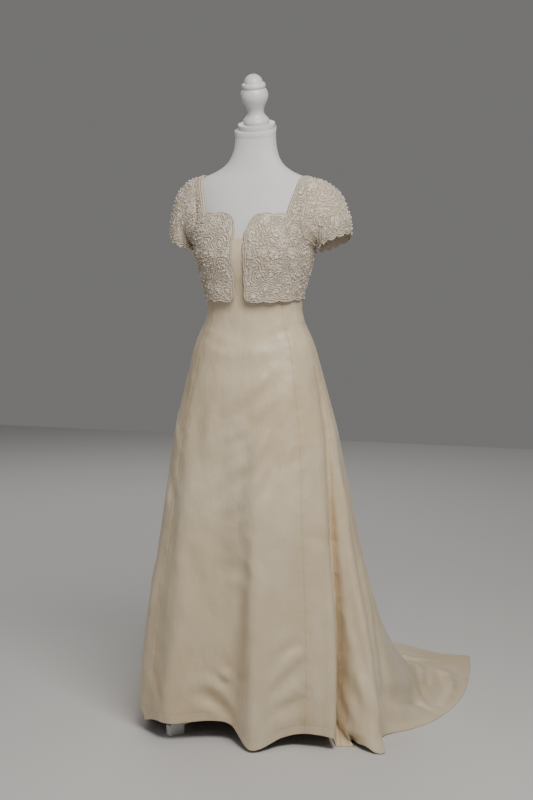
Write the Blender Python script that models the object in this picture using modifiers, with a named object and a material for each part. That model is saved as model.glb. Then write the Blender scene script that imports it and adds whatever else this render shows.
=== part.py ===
"""Floor-length satin wedding dress with a beaded lace overbodice, worn by a limbless dress form.

Metres, +Z up. The dress faces -Y and its train runs out along +Y. Angles go round the body from
the centre front, positive towards the wearer's left, which is +X.
"""

import math
from collections import namedtuple

import bpy
import numpy as np

# Where the form's axis stands, so that the whole is centred on the origin
STAND_X = -0.0400
STAND_Y = -0.2834

# Cloth
SATIN = 0.0015
LACE = 0.0022
CLOTH_OFF_FORM = 0.0022
LACE_OFF_SATIN = 0.0010
SLEEVE_OFF_LACE = 0.0022
SEAM_GAP = 0.0003
HARD_GAP = 0.0003

# Gown, princess cut from its top edge to its hem
GOWN_TOP_FRONT = 1.232
GOWN_TOP_DIP = 0.038
SKIRT_START = 0.950
WAIST_FREE = 1.045
BODICE_ROWS = 10
SKIRT_ROWS = 12
HEM_COLUMN = 0.056
WIDEST_COLUMN = 8.0
TRAIN_BEGINS = 78.0
TRAIN_FULL = 126.0

# Lace overbodice
LACE_HEM = 1.068
UNDERARM = 1.205
LACE_SIDE = 90.0
LACE_COLUMNS = 9
LACE_ROWS = 6
ARMHOLE_ROWS = 6
STRAP_ROWS = 4
COLUMNS_A_SCALLOP = 3
SCALLOP_DEPTH = 0.0060
FRONT_HANG = 0.012
SLIT_LIFT = 0.004
SLIT_FLARE = 3.5
STRAP_INNER = 0.1245
STRAP_OUTER = 0.1430
STRAP_AXIS = 1.262
ROSETTE = 0.036
RELIEF = 0.0012

# Sleeves: ovals that fan out from the underarm
SLEEVE_CENTRE = 0.019
SLEEVE_AROUND = 27
SLEEVE_SCALLOPS = 9
SLEEVE_RINGS = 7
SLEEVE_BACK_DROP = 0.024
SPREAD_LEFT = 1.0
SPREAD_RIGHT = 0.80

# Dress form and stand
FORM_AROUND = 36
FULLNESS = 0.89
NECK_TILT = math.radians(14.0)
NECK_CENTRE = (0.0, 0.018, 1.492)
TILT_BEGINS = 1.404
LEG_THICKNESS = 0.018
LEG_ANGLES = (-38.0, 82.0, 202.0)
TURNED_STEPS = 20

Section = namedtuple("Section", "z half_width front back")
Flare = namedtuple("Flare", "z half_width front back")
Profile = namedtuple("Profile", "along drop reach")
Hem = namedtuple("Hem", "angle x y z")
Sleeve = namedtuple("Sleeve", "turn length half_depth low_x low_z")
LaceCut = namedtuple("LaceCut", "first corner armhole neckline")
Panel = namedtuple("Panel", "name first last")
Turned = namedtuple("Turned", "radius height")

# The form, from its underside to the top of its neck
FORM = [
    Section(0.745, 0.120, 0.080, 0.090),
    Section(0.752, 0.146, 0.098, 0.112),
    Section(0.780, 0.156, 0.105, 0.120),
    Section(0.820, 0.162, 0.108, 0.124),
    Section(0.860, 0.164, 0.108, 0.122),
    Section(0.910, 0.157, 0.103, 0.112),
    Section(0.950, 0.147, 0.098, 0.102),
    Section(0.985, 0.134, 0.092, 0.093),
    Section(1.020, 0.121, 0.087, 0.085),
    Section(1.050, 0.1155, 0.085, 0.081),
    Section(1.080, 0.1170, 0.087, 0.081),
    Section(1.115, 0.125, 0.093, 0.085),
    Section(1.150, 0.136, 0.102, 0.090),
    Section(1.190, 0.1455, 0.109, 0.097),
    Section(1.230, 0.1490, 0.107, 0.102),
    Section(1.265, 0.1505, 0.098, 0.104),
    Section(1.295, 0.1530, 0.087, 0.104),
    Section(1.318, 0.1560, 0.077, 0.100),
    Section(1.335, 0.1570, 0.069, 0.094),
    Section(1.348, 0.1560, 0.063, 0.088),
    Section(1.360, 0.1480, 0.057, 0.082),
    Section(1.372, 0.1260, 0.050, 0.074),
    Section(1.386, 0.0940, 0.043, 0.068),
    Section(1.404, 0.0700, 0.038, 0.065),
    Section(1.426, 0.0570, 0.034, 0.064),
    Section(1.452, 0.0505, 0.031, 0.066),
    Section(1.476, 0.0490, 0.030, 0.066),
    Section(1.484, 0.0500, 0.0325, 0.0685),
    Section(1.492, 0.0500, 0.0325, 0.0685),
]
BUST = namedtuple("Bust", "angle spread z rise height")(30.0, 24.0, 1.188, 0.052, 0.010)

# The skirt as it would hang without train or folds
SKIRT = [
    Flare(-0.020, 0.302, 0.226, 0.290),
    Flare(0.150, 0.290, 0.218, 0.268),
    Flare(0.310, 0.270, 0.205, 0.242),
    Flare(0.460, 0.244, 0.188, 0.214),
    Flare(0.616, 0.221, 0.167, 0.186),
    Flare(0.743, 0.202, 0.148, 0.164),
    Flare(0.819, 0.184, 0.136, 0.150),
    Flare(0.890, 0.167, 0.121, 0.133),
    Flare(0.950, 0.152, 0.106, 0.113),
    Flare(0.985, 0.140, 0.0965, 0.0975),
    Flare(1.020, 0.1236, 0.0896, 0.0876),
]

# How the train falls, along one line of it: its height and how far out it has come
TRAIN = [
    Profile(0.000, 1.000, 0.00),
    Profile(0.269, 0.648, 0.05),
    Profile(0.411, 0.463, 0.09),
    Profile(0.567, 0.274, 0.20),
    Profile(0.727, 0.105, 0.40),
    Profile(0.842, 0.010, 0.60),
    Profile(1.000, 0.000, 1.00),
]
FOLD_GROWTH = 1.35

# The hem, one row for each crest or valley of its folds
HEM = [
    Hem(-180.0, 0.000, 0.842, 0.000),
    Hem(-168.0, -0.185, 0.800, 0.000),
    Hem(-156.0, -0.330, 0.735, 0.000),
    Hem(-146.0, -0.392, 0.620, 0.000),
    Hem(-136.0, -0.366, 0.470, 0.000),
    Hem(-126.0, -0.392, 0.350, 0.000),
    Hem(-114.0, -0.334, 0.205, 0.003),
    Hem(-104.0, -0.338, 0.105, 0.010),
    Hem(-94.0, -0.283, 0.030, 0.024),
    Hem(-82.0, -0.299, -0.050, 0.034),
    Hem(-70.0, -0.264, -0.118, 0.040),
    Hem(-58.0, -0.262, -0.178, 0.045),
    Hem(-46.0, -0.205, -0.212, 0.049),
    Hem(-30.0, -0.138, -0.250, 0.050),
    Hem(-10.0, -0.045, -0.206, 0.049),
    Hem(3.0, 0.006, -0.208, 0.040),
    Hem(14.0, 0.074, -0.274, 0.006),
    Hem(28.0, 0.132, -0.214, 0.024),
    Hem(48.0, 0.186, -0.196, 0.034),
    Hem(62.0, 0.226, -0.196, 0.034),
    Hem(76.0, 0.264, -0.190, 0.028),
    Hem(83.0, 0.226, -0.098, 0.010),
    Hem(89.0, 0.292, -0.166, 0.002),
    Hem(94.0, 0.372, -0.188, 0.000),
    Hem(99.5, 0.350, -0.064, 0.000),
    Hem(107.0, 0.404, 0.018, 0.000),
    Hem(115.0, 0.448, 0.118, 0.000),
    Hem(126.0, 0.472, 0.290, 0.000),
    Hem(138.0, 0.460, 0.480, 0.000),
    Hem(150.0, 0.414, 0.704, 0.000),
    Hem(158.0, 0.318, 0.728, 0.000),
    Hem(168.0, 0.190, 0.806, 0.000),
    Hem(180.0, 0.000, 0.842, 0.000),
]

# The gown's panels between their seams, in degrees round the body
PANELS = [
    Panel("gown_centre_front", -48.0, 48.0),
    Panel("gown_side_front_left", 48.0, 86.0),
    Panel("gown_side_back_left", 86.0, 138.0),
    Panel("gown_centre_back_left", 138.0, 180.0),
    Panel("gown_centre_back_right", -180.0, -138.0),
    Panel("gown_side_back_right", -138.0, -86.0),
    Panel("gown_side_front_right", -86.0, -48.0),
]

# Half of the overbodice, in degrees from its centre: slit or closure, corner of the neckline and
# armhole at the neckline's height
LACE_FRONT = LaceCut(3.5, 40.0, 55.0, 1.283)
LACE_BACK = LaceCut(0.075, 44.0, 57.0, 1.300)

# Sleeve ovals from the armhole to the hem, turned outwards from upright about their low point
SLEEVE = [
    Sleeve(0.0, 0.1670, 0.056, 0.1560, 1.2050),
    Sleeve(6.0, 0.1620, 0.062, 0.1575, 1.2042),
    Sleeve(18.0, 0.1470, 0.065, 0.1590, 1.2030),
    Sleeve(31.0, 0.1220, 0.066, 0.1600, 1.2015),
    Sleeve(47.0, 0.1010, 0.065, 0.1608, 1.1995),
    Sleeve(58.0, 0.0890, 0.064, 0.1614, 1.1970),
    Sleeve(67.0, 0.0815, 0.063, 0.1620, 1.1940),
]

FINIAL = [
    Turned(0.0310, 0.000),
    Turned(0.0313, 0.005),
    Turned(0.0294, 0.012),
    Turned(0.0233, 0.020),
    Turned(0.0197, 0.025),
    Turned(0.0195, 0.031),
    Turned(0.0222, 0.040),
    Turned(0.0290, 0.051),
    Turned(0.0332, 0.062),
    Turned(0.0339, 0.070),
    Turned(0.0318, 0.081),
    Turned(0.0268, 0.090),
    Turned(0.0283, 0.093),
    Turned(0.0288, 0.097),
    Turned(0.0270, 0.102),
    Turned(0.0225, 0.105),
    Turned(0.0205, 0.112),
    Turned(0.0150, 0.120),
    Turned(0.0080, 0.125),
    Turned(0.0000, 0.1265),
]
NECK_CAP = [
    Turned(0.0455, 0.0000),
    Turned(0.0462, 0.0030),
    Turned(0.0462, 0.0085),
    Turned(0.0440, 0.0115),
    Turned(0.0000, 0.0115),
]
HUB = [
    Turned(0.0270, 0.070),
    Turned(0.0270, 0.140),
    Turned(0.0240, 0.150),
    Turned(0.0000, 0.150),
]
POLE = [
    Turned(0.0125, 0.1503),
    Turned(0.0125, 0.7000),
    Turned(0.0300, 0.7250),
    Turned(0.0300, 0.7447),
    Turned(0.0000, 0.7447),
]

# One leg seen from the side: outline from the hub out to the foot and back
LegPoint = namedtuple("LegPoint", "out z")
LEG = [
    LegPoint(0.0273, 0.078),
    LegPoint(0.090, 0.066),
    LegPoint(0.150, 0.042),
    LegPoint(0.195, 0.018),
    LegPoint(0.216, 0.000),
    LegPoint(0.262, 0.000),
    LegPoint(0.262, 0.026),
    LegPoint(0.238, 0.040),
    LegPoint(0.190, 0.072),
    LegPoint(0.120, 0.106),
    LegPoint(0.060, 0.128),
    LegPoint(0.0273, 0.136),
]


def smooth(xs, ys, at):
    """Monotone cubic through (xs, ys), read at any array of places."""
    xs = np.asarray(xs, float)
    ys = np.asarray(ys, float)
    at = np.clip(np.asarray(at, float), xs[0], xs[-1])
    step = np.diff(xs)
    rise = np.diff(ys) / step
    slope = np.zeros(len(xs))
    slope[0] = rise[0]
    slope[-1] = rise[-1]
    same = rise[:-1] * rise[1:] > 0
    weight_a = 2 * step[1:] + step[:-1]
    weight_b = step[1:] + 2 * step[:-1]
    with np.errstate(divide="ignore", invalid="ignore"):
        mean = (weight_a + weight_b) / (weight_a / rise[:-1] + weight_b / rise[1:])
    slope[1:-1] = np.where(same, mean, 0.0)
    return hermite(xs, ys, slope, at)


def hermite(xs, ys, slope, at):
    """Cubic with the given slopes at its knots."""
    i = np.clip(np.searchsorted(xs, at, side="right") - 1, 0, len(xs) - 2)
    h = xs[i + 1] - xs[i]
    t = (at - xs[i]) / h
    a = (1 + 2 * t) * (1 - t) ** 2 * ys[i]
    b = t * (1 - t) ** 2 * h * slope[i]
    c = t * t * (3 - 2 * t) * ys[i + 1]
    d = t * t * (t - 1) * h * slope[i + 1]
    return a + b + c + d


def closed(angles, values, at):
    """Smooth periodic curve through values at angles that run from -180 to 180 degrees."""
    xs = np.asarray(angles, float)
    ys = np.asarray(values, float)
    before = np.concatenate([[xs[-2] - 360.0], xs[:-1]])
    after = np.concatenate([xs[1:], [xs[1] + 360.0]])
    lower = np.concatenate([[ys[-2]], ys[:-1]])
    upper = np.concatenate([ys[1:], [ys[1]]])
    slope = (upper - lower) / (after - before)
    wrapped = (np.asarray(at, float) + 180.0) % 360.0 - 180.0
    return hermite(xs, ys, slope, wrapped)


def step_up(low, high, at):
    """0 below low, 1 above high, smooth between."""
    t = np.clip((at - low) / (high - low), 0.0, 1.0)
    return t * t * (3 - 2 * t)


def oval(angle, half_width, front, back):
    """Plan position on a body section at an angle in degrees."""
    s = np.sin(np.radians(angle))
    c = np.cos(np.radians(angle))
    x = half_width * np.sign(s) * np.abs(s) ** FULLNESS
    depth = np.where(c > 0, front, back)
    return x, -depth * np.sign(c) * np.abs(c) ** FULLNESS


def wrap(angle):
    """An angle between -180 and 180 degrees."""
    return (np.asarray(angle, float) + 180.0) % 360.0 - 180.0


def column(rows, name):
    """One named column of a table."""
    return [getattr(row, name) for row in rows]


def form_point(angle, z):
    """Point on the dress form's surface."""
    angle = np.asarray(angle, float)
    z = np.asarray(z, float)
    levels = column(FORM, "z")
    sizes = [smooth(levels, column(FORM, n), z) for n in ("half_width", "front", "back")]
    x, y = oval(angle, *sizes)
    off_bust = (np.abs(wrap(angle)) - BUST.angle) / BUST.spread
    off_level = (z - BUST.z) / BUST.rise
    bump = BUST.height * np.exp(-(off_bust**2) - off_level**2)
    reach = np.hypot(x, y)
    grown = 1 + bump / np.maximum(reach, 1e-6)
    return np.stack([x * grown, y * grown, z + 0 * x], axis=-1)


def skirt_base(angle, z):
    """Plan position of the skirt as it would hang without train or folds."""
    levels = column(SKIRT, "z")
    sizes = [smooth(levels, column(SKIRT, n), z) for n in ("half_width", "front", "back")]
    return oval(angle, *sizes)


def hem_point(angle):
    """Point of the hem, folds and all."""
    angles = column(HEM, "angle")
    return [closed(angles, column(HEM, name), angle) for name in ("x", "y", "z")]


def skirt_point(angle, along):
    """Point of the skirt's inner face, from its start (0) to its hem (1)."""
    angle = np.asarray(angle, float)
    along = np.asarray(along, float)
    train = step_up(TRAIN_BEGINS, TRAIN_FULL, np.abs(wrap(angle)))
    x_hem, y_hem, z_hem = hem_point(angle)
    stations = column(TRAIN, "along")
    train_z = SKIRT_START * smooth(stations, column(TRAIN, "drop"), along)
    front_z = SKIRT_START + (z_hem - SKIRT_START) * along
    z = np.maximum(front_z + (train_z - front_z) * train, 0.0)
    reach = smooth(stations, column(TRAIN, "reach"), along)
    grown = along**FOLD_GROWTH + (reach - along**FOLD_GROWTH) * train
    x, y = skirt_base(angle, z)
    x_end, y_end = skirt_base(angle, 0.0 * z)
    return np.stack([x + (x_hem - x_end) * grown, y + (y_hem - y_end) * grown, z], axis=-1)


def gown_top(angle):
    """Height of the gown's top edge."""
    return GOWN_TOP_FRONT - GOWN_TOP_DIP * (1 - np.cos(np.radians(angle)))


def bodice_point(angle, along):
    """Point of the gown's inner face above the skirt, from its top edge (0) to the skirt (1)."""
    z = gown_top(angle) + (SKIRT_START - gown_top(angle)) * along
    body = form_point(angle, z)
    away = normal_of(form_point, angle, z, 1.0, -0.004)
    held = body + away * CLOTH_OFF_FORM
    x, y = skirt_base(angle, z)
    flared = np.stack([x, y, z + 0 * x], axis=-1)
    free = 1 - step_up(SKIRT_START, WAIST_FREE, z)[..., None]
    return held + (flared - held) * free


def gown_point(angle, along):
    """Point of the gown's inner face: along runs 0 to 1 down the bodice and 1 to 2 down the skirt."""
    along = np.asarray(along, float)
    upper = bodice_point(angle, np.clip(along, 0.0, 1.0))
    lower = skirt_point(angle, np.clip(along - 1.0, 0.0, 1.0))
    return np.where((along > 1.0)[..., None], lower, upper)


def normal_of(surface, u, v, du, dv):
    """Outward unit normal of a surface whose v runs down when dv is positive."""
    across = surface(u + du, v) - surface(u - du, v)
    down = surface(u, v + dv) - surface(u, v - dv)
    n = np.cross(down, across)
    return n / np.maximum(np.linalg.norm(n, axis=-1, keepdims=True), 1e-12)


def gown_columns(first, last):
    """Angles of a panel's columns, closer together where the hem is long."""
    knots = sorted({first, last, *[a for a in column(HEM, "angle") if first < a < last]})
    angles = []
    for low, high in zip(knots, knots[1:]):
        fine = np.linspace(low, high, 9)
        x, y, _ = hem_point(fine)
        length = np.hypot(np.diff(x), np.diff(y)).sum()
        count = max(round(length / HEM_COLUMN), math.ceil((high - low) / WIDEST_COLUMN))
        angles += list(np.linspace(low, high, count, endpoint=False))
    return np.array(angles + [last])


def close_seams(points):
    """Draws a panel's side columns in, so that it stands half the seam gap from each neighbour."""
    for edge, inside in ((0, 1), (-1, -2)):
        down = np.gradient(points[:, edge], axis=0)
        down /= np.linalg.norm(down, axis=-1, keepdims=True)
        across = points[:, inside] - points[:, edge]
        across -= down * np.sum(down * across, axis=-1, keepdims=True)
        across /= np.linalg.norm(across, axis=-1, keepdims=True)
        points[:, edge] += across * SEAM_GAP / 2


def gown_panel(panel, satin):
    """One panel of the gown, from its top edge to its hem."""
    angles = gown_columns(panel.first, panel.last)
    bodice = np.linspace(0, 1, BODICE_ROWS, endpoint=False)
    skirt = np.linspace(1, 2, SKIRT_ROWS + 1)
    angle, along = np.meshgrid(angles, np.concatenate([bodice, skirt]))
    inner = gown_point(angle, along)
    down = gown_point(angle, np.minimum(along + 0.02, 2.0)) - gown_point(angle, np.maximum(along - 0.02, 0.0))
    across = gown_point(angle + 1.2, along) - gown_point(angle - 1.2, along)
    normals = np.cross(down, across)
    normals /= np.linalg.norm(normals, axis=-1, keepdims=True)
    lying = (inner[..., 2] < 1e-6) & (normals[..., 2] > 0.2)
    normals[lying] = (0.0, 0.0, 1.0)
    outer = inner + normals * SATIN
    outer[..., 2] = np.maximum(outer[..., 2], 0.0)
    both = np.concatenate([inner, outer], axis=0)
    close_seams(both[: len(inner)])
    close_seams(both[len(inner) :])
    both[..., 2] = np.maximum(both[..., 2], 0.0)
    return wall(panel.name, both[: len(inner)], both[len(inner) :], satin)


def wall(name, inner, outer, material, kept=None, ring=False):
    """A closed cloth wall between two equal grids of points. kept says which cells are cloth."""
    rows, columns = inner.shape[:2]
    cells = columns if ring else columns - 1
    if kept is None:
        kept = np.ones((rows - 1, cells), bool)
    points = np.concatenate([outer.reshape(-1, 3), inner.reshape(-1, 3)])
    back = rows * columns
    faces = []
    edges = set()
    for row, cell in np.argwhere(kept):
        beside = (cell + 1) % columns
        a = int(row * columns + cell)
        b = int((row + 1) * columns + cell)
        c = int((row + 1) * columns + beside)
        d = int(row * columns + beside)
        faces.append((a, b, c, d))
        faces.append((a + back, d + back, c + back, b + back))
        edges.update([(a, b), (b, c), (c, d), (d, a)])
    for start, end in sorted(edges):
        if (end, start) in edges:
            continue
        high = max(start, end) + back
        low = min(start, end)
        faces.append((end, start, high))
        faces.append((low, start + back, end + back))
    used = sorted({i for face in faces for i in face})
    new = {old: i for i, old in enumerate(used)}
    mesh = bpy.data.meshes.new(name)
    mesh.from_pydata([tuple(points[i]) for i in used], [], [[new[i] for i in f] for f in faces])
    mesh.shade_smooth()
    return put(bpy.data.objects.new(name, mesh), material)


def rosettes(u, v):
    """Relief of staggered flower heads, from 0 to 1, at places measured in metres."""
    row = np.floor(v / ROSETTE)
    x = (u / ROSETTE + 0.5 * row) % 1.0 - 0.5
    y = (v / ROSETTE) % 1.0 - 0.5
    off = np.hypot(x, y)
    return 0.5 + 0.5 * np.cos(np.minimum(off / 0.42, 1.0) * 2 * np.pi)


def lace_off(angle, z):
    """How far the lace's inner face stands off the form: it hangs free of the satin at the waist."""
    rest = CLOTH_OFF_FORM + SATIN + LACE_OFF_SATIN
    turn = np.abs(wrap(angle))
    low = 1 - step_up(LACE_HEM, 1.165, z)
    loose = FRONT_HANG * np.exp(-(((turn - 24.0) / 34.0) ** 2)) * low
    lift = SLIT_LIFT * np.exp(-((turn / 12.0) ** 2)) * (1 - step_up(1.10, 1.20, z))
    return rest + loose + lift


def lace_point(angle, z):
    """Point of the lace's inner face on the body, and the way out from it."""
    away = normal_of(form_point, angle, z, 1.5, -0.005)
    return form_point(angle, z) + away * lace_off(angle, z)[..., None], away


def form_level(points):
    """Below 1 inside the dress form, above 1 outside, for points above its bust."""
    x, y, z = np.moveaxis(points, -1, 0)
    levels = column(FORM, "z")
    wide = smooth(levels, column(FORM, "half_width"), z)
    deep = np.where(y < 0, smooth(levels, column(FORM, "front"), z), smooth(levels, column(FORM, "back"), z))
    return (np.abs(x) / wide) ** (2 / FULLNESS) + (np.abs(y) / deep) ** (2 / FULLNESS)


def shoulder_point(x, turn):
    """Point of the strap's inner face, and the way out. turn is 0 in front, 90 on top, 180 behind."""
    x, turn = np.broadcast_arrays(np.asarray(x, float), np.asarray(turn, float))
    way = np.stack([0 * x, -np.cos(np.radians(turn)), np.sin(np.radians(turn))], axis=-1)
    start = np.stack([x, 0 * x, 0 * x + STRAP_AXIS], axis=-1)
    low = np.zeros(x.shape)
    high = low + 0.20
    for _ in range(40):
        middle = (low + high) / 2
        inside = form_level(start + way * middle[..., None]) < 1.0
        low = np.where(inside, middle, low)
        high = np.where(inside, high, middle)
    point = start + way * low[..., None]
    nudges = np.eye(3) * 0.0004
    away = np.stack([form_level(point + n) - form_level(point - n) for n in nudges], axis=-1)
    away /= np.linalg.norm(away, axis=-1, keepdims=True)
    return point + away * (CLOTH_OFF_FORM + SATIN + LACE_OFF_SATIN), away


def armhole_edge(cut, share):
    """Angle from the overbodice's centre, and height, along the armhole: 0 underarm, 1 neckline."""
    turn = np.radians(90.0 * np.asarray(share, float))
    angle = LACE_SIDE + (cut.armhole - LACE_SIDE) * np.sin(turn)
    return angle, UNDERARM + (cut.neckline - UNDERARM) * (1 - np.cos(turn))


def strap_points(cut, base_angles, t, across):
    """One row of the strap, t of the way from the neckline to the shoulder seam, and its ways out."""
    back = cut is LACE_BACK
    base = form_point(180.0 - base_angles if back else base_angles, cut.neckline + 0 * base_angles)
    base_turn = np.degrees(np.arctan2(base[..., 2] - STRAP_AXIS, np.abs(base[..., 1])))
    seam = np.degrees(SEAM_GAP / 2 / 0.10)
    turn = base_turn + (90.0 - seam - base_turn) * t
    top_x = STRAP_INNER + (STRAP_OUTER - STRAP_INNER) * across
    x = base[..., 0] + (top_x - base[..., 0]) * step_up(0.0, 1.0, t)
    return shoulder_point(x, 180.0 - turn if back else turn)


def lace_grid(cut):
    """Inner face of one half of the overbodice on the wearer's left, rows running down, and its ways out."""
    share = np.linspace(0.0, 1.0, LACE_COLUMNS + 1)
    scallop = np.abs(np.sin(np.pi * np.arange(2 * LACE_COLUMNS + 1) / COLUMNS_A_SCALLOP))
    seam = np.degrees(SEAM_GAP / 2 / 0.12)
    beside = np.linspace(-0.9, -0.1, LACE_COLUMNS)
    rows = []
    for t in np.linspace(1.0, 0.0, STRAP_ROWS, endpoint=False):
        base = cut.corner + (cut.armhole - cut.corner) * np.concatenate([0.4 * beside, share])
        rows.append(strap_points(cut, base, t, np.concatenate([beside, share])))
    edge, level = armhole_edge(cut, np.linspace(1.0, 0.0, ARMHOLE_ROWS + 1))
    below = np.linspace(UNDERARM, LACE_HEM, LACE_ROWS + 1)[1:]
    edge = np.concatenate([edge, np.full(LACE_ROWS, LACE_SIDE)]) - seam
    for last, z in zip(edge, np.concatenate([level, below])):
        t = (z - LACE_HEM) / (cut.neckline - LACE_HEM)
        first = cut.first + SLIT_FLARE * step_up(0.84, 1.0, t) * (cut is LACE_FRONT)
        centre = first + (cut.corner - first) * share[:-1]
        angles = np.concatenate([centre, cut.corner + (last - cut.corner) * share])
        levels = z - SCALLOP_DEPTH * scallop * (1 - step_up(0.0, 0.14, t))
        levels[:LACE_COLUMNS] += SCALLOP_DEPTH * scallop[:LACE_COLUMNS] * step_up(0.86, 1.0, t)
        rows.append(lace_point(180.0 - angles if cut is LACE_BACK else angles, levels))
    return np.moveaxis(np.array(rows), 1, 0)


def lace_half(name, cut, side, lace):
    """Front or back half of the overbodice with its strap. side is 1 on the wearer's left, else -1."""
    skin, away = lace_grid(cut) * (side, 1, 1)
    kept = np.ones((len(skin) - 1, skin.shape[1] - 1), bool)
    kept[:STRAP_ROWS, :LACE_COLUMNS] = False
    if (cut is LACE_BACK) != (side < 0):
        skin = skin[:, ::-1]
        away = away[:, ::-1]
        kept = kept[:, ::-1]
    inside = np.zeros(skin.shape[:2])
    inside[1:-1, 1:-1] = kept[1:, 1:] & kept[1:, :-1] & kept[:-1, 1:] & kept[:-1, :-1]
    raised = LACE + RELIEF * inside * rosettes(np.abs(skin[..., 0]), skin[..., 2])
    return wall(name, skin, skin + away * raised[..., None], lace, kept)


def grid_normals(points):
    """Unit normals of a grid of points whose rows run down and whose columns go round."""
    n = np.cross(np.gradient(points, axis=0), np.gradient(points, axis=1))
    return n / np.linalg.norm(n, axis=-1, keepdims=True)


def armhole(cut, count):
    """Points along the overbodice's armhole, just off its outer face, from the shoulder down."""
    strap, strap_out = strap_points(cut, np.full(12, cut.armhole), np.linspace(1.0, 0.0, 12), np.ones(12))
    angles, z = armhole_edge(cut, np.linspace(1.0, 0.0, 24))
    panel, panel_out = lace_point(180.0 - angles if cut is LACE_BACK else angles, z)
    out = np.concatenate([strap_out[:-1], panel_out])
    path = np.concatenate([strap[:-1], panel]) + out * (LACE + SLEEVE_OFF_LACE)
    length = np.concatenate([[0.0], np.linalg.norm(np.diff(path, axis=0), axis=-1).cumsum()])
    at = np.linspace(0.0, length[-1], count)
    return np.stack([np.interp(at, length, path[:, k]) for k in range(3)], axis=-1)


def sleeve(name, side, spread, lace):
    """Cap sleeve from the armhole to its scalloped hem. side is 1 on the wearer's left, else -1."""
    half = 200
    turns = np.linspace(0.0, 360.0, 2 * half + 1)
    loop = np.concatenate([armhole(LACE_BACK, half + 1), armhole(LACE_FRONT, half + 1)[::-1][1:]])
    theta = np.linspace(0.0, 360.0, SLEEVE_AROUND, endpoint=False)
    start = np.stack([np.interp(theta, turns, loop[:, k]) for k in range(3)], axis=-1)
    s = np.sin(np.radians(theta))
    c = np.cos(np.radians(theta))
    stations = np.linspace(0.0, 1.0, len(SLEEVE))
    rows = []
    for k in np.linspace(0.0, 1.0, SLEEVE_RINGS + 1):
        turn, length, depth, low_x, low_z = [smooth(stations, column(SLEEVE, n), k) for n in Sleeve._fields]
        up = (1 + c) / 2 * length
        x = low_x + up * np.sin(np.radians(turn)) * spread
        z = low_z + up * np.cos(np.radians(turn)) - SLEEVE_BACK_DROP * np.maximum(s, 0.0) * k
        ring = np.stack([x, SLEEVE_CENTRE + depth * s, z], axis=-1)
        if not rows:
            off = start - ring
        rows.append(ring + off * (1 - step_up(0.0, 0.45, k)))
    skin = np.array(rows)
    scallop = np.abs(np.sin(np.pi * SLEEVE_SCALLOPS * theta / 360.0))
    last = skin[-1] - skin[-2]
    last /= np.linalg.norm(last, axis=-1, keepdims=True)
    skin[-1] += last * (SCALLOP_DEPTH * scallop)[:, None]
    skin[..., 0] *= side
    if side < 0:
        skin = skin[:, ::-1].copy()
    around = np.concatenate([skin[:, -1:], skin, skin[:, :1]], axis=1)
    outer = skin + grid_normals(around)[:, 1:-1] * LACE
    return wall(name, skin, outer, lace, ring=True)


def form_body(jersey):
    """The padded form, one closed body with a flat underside and a tilted neck."""
    angles = np.linspace(-180.0, 180.0, FORM_AROUND, endpoint=False)
    angle, z = np.meshgrid(angles, column(FORM, "z")[::-1])
    rings = form_point(angle, z)
    tilt = step_up(TILT_BEGINS, FORM[-2].z, z) * math.tan(NECK_TILT)
    rings[..., 2] += (rings[..., 1] - NECK_CENTRE[1]) * tilt
    points = rings.reshape(-1, 3)
    rows, around = angle.shape
    faces = [tuple(range(around)), tuple(range(len(points) - 1, len(points) - around - 1, -1))]
    for row in range(rows - 1):
        for cell in range(around):
            a = row * around + cell
            d = row * around + (cell + 1) % around
            faces.append((a, a + around, d + around, d))
    mesh = bpy.data.meshes.new("form_body")
    mesh.from_pydata([tuple(p) for p in points], [], faces)
    mesh.shade_smooth()
    return put(bpy.data.objects.new("form_body", mesh), jersey)


def turned(name, profile, material):
    """A lathe-turned piece from its outline, bottom to top."""
    outline = [(row.radius, 0.0, row.height) for row in profile[::-1]] + [(0.0, 0.0, profile[0].height)]
    mesh = bpy.data.meshes.new(name)
    mesh.from_pydata(outline, [(i, i + 1) for i in range(len(outline) - 1)], [])
    obj = put(bpy.data.objects.new(name, mesh), material)
    screw = obj.modifiers.new("turn", "SCREW")
    screw.steps = TURNED_STEPS
    screw.render_steps = TURNED_STEPS
    screw.use_merge_vertices = True
    screw.merge_threshold = 0.0001
    screw.use_smooth_shade = True
    return obj


def leg(name, angle, material):
    """One foot of the stand, sawn from a board."""
    mesh = bpy.data.meshes.new(name)
    mesh.from_pydata([(0.0, -row.out, row.z) for row in LEG], [], [tuple(range(len(LEG)))])
    obj = put(bpy.data.objects.new(name, mesh), material)
    board = obj.modifiers.new("board", "SOLIDIFY")
    board.thickness = LEG_THICKNESS
    board.offset = 0.0
    obj.rotation_euler.z = math.radians(angle)
    return obj


def put(obj, material):
    """Links an object, with its material, under the form's axis."""
    obj.data.materials.append(material)
    MODEL.objects.link(obj)
    obj.parent = AXIS
    return obj


def finish(name, colour, roughness):
    """A Principled material."""
    material = bpy.data.materials.new(name)
    material.use_nodes = True
    shader = material.node_tree.nodes["Principled BSDF"]
    shader.inputs["Base Color"].default_value = (*colour, 1.0)
    shader.inputs["Roughness"].default_value = roughness
    return material


for old in list(bpy.data.objects):
    bpy.data.objects.remove(old)
MODEL = bpy.data.collections.new("wedding_dress")
bpy.context.scene.collection.children.link(MODEL)
AXIS = bpy.data.objects.new("form_axis", None)
AXIS.location = (STAND_X, STAND_Y, 0.0)
MODEL.objects.link(AXIS)

SATIN_CLOTH = finish("ivory_satin", (0.80, 0.75, 0.67), 0.38)
for row in PANELS:
    gown_panel(row, SATIN_CLOTH)

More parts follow.
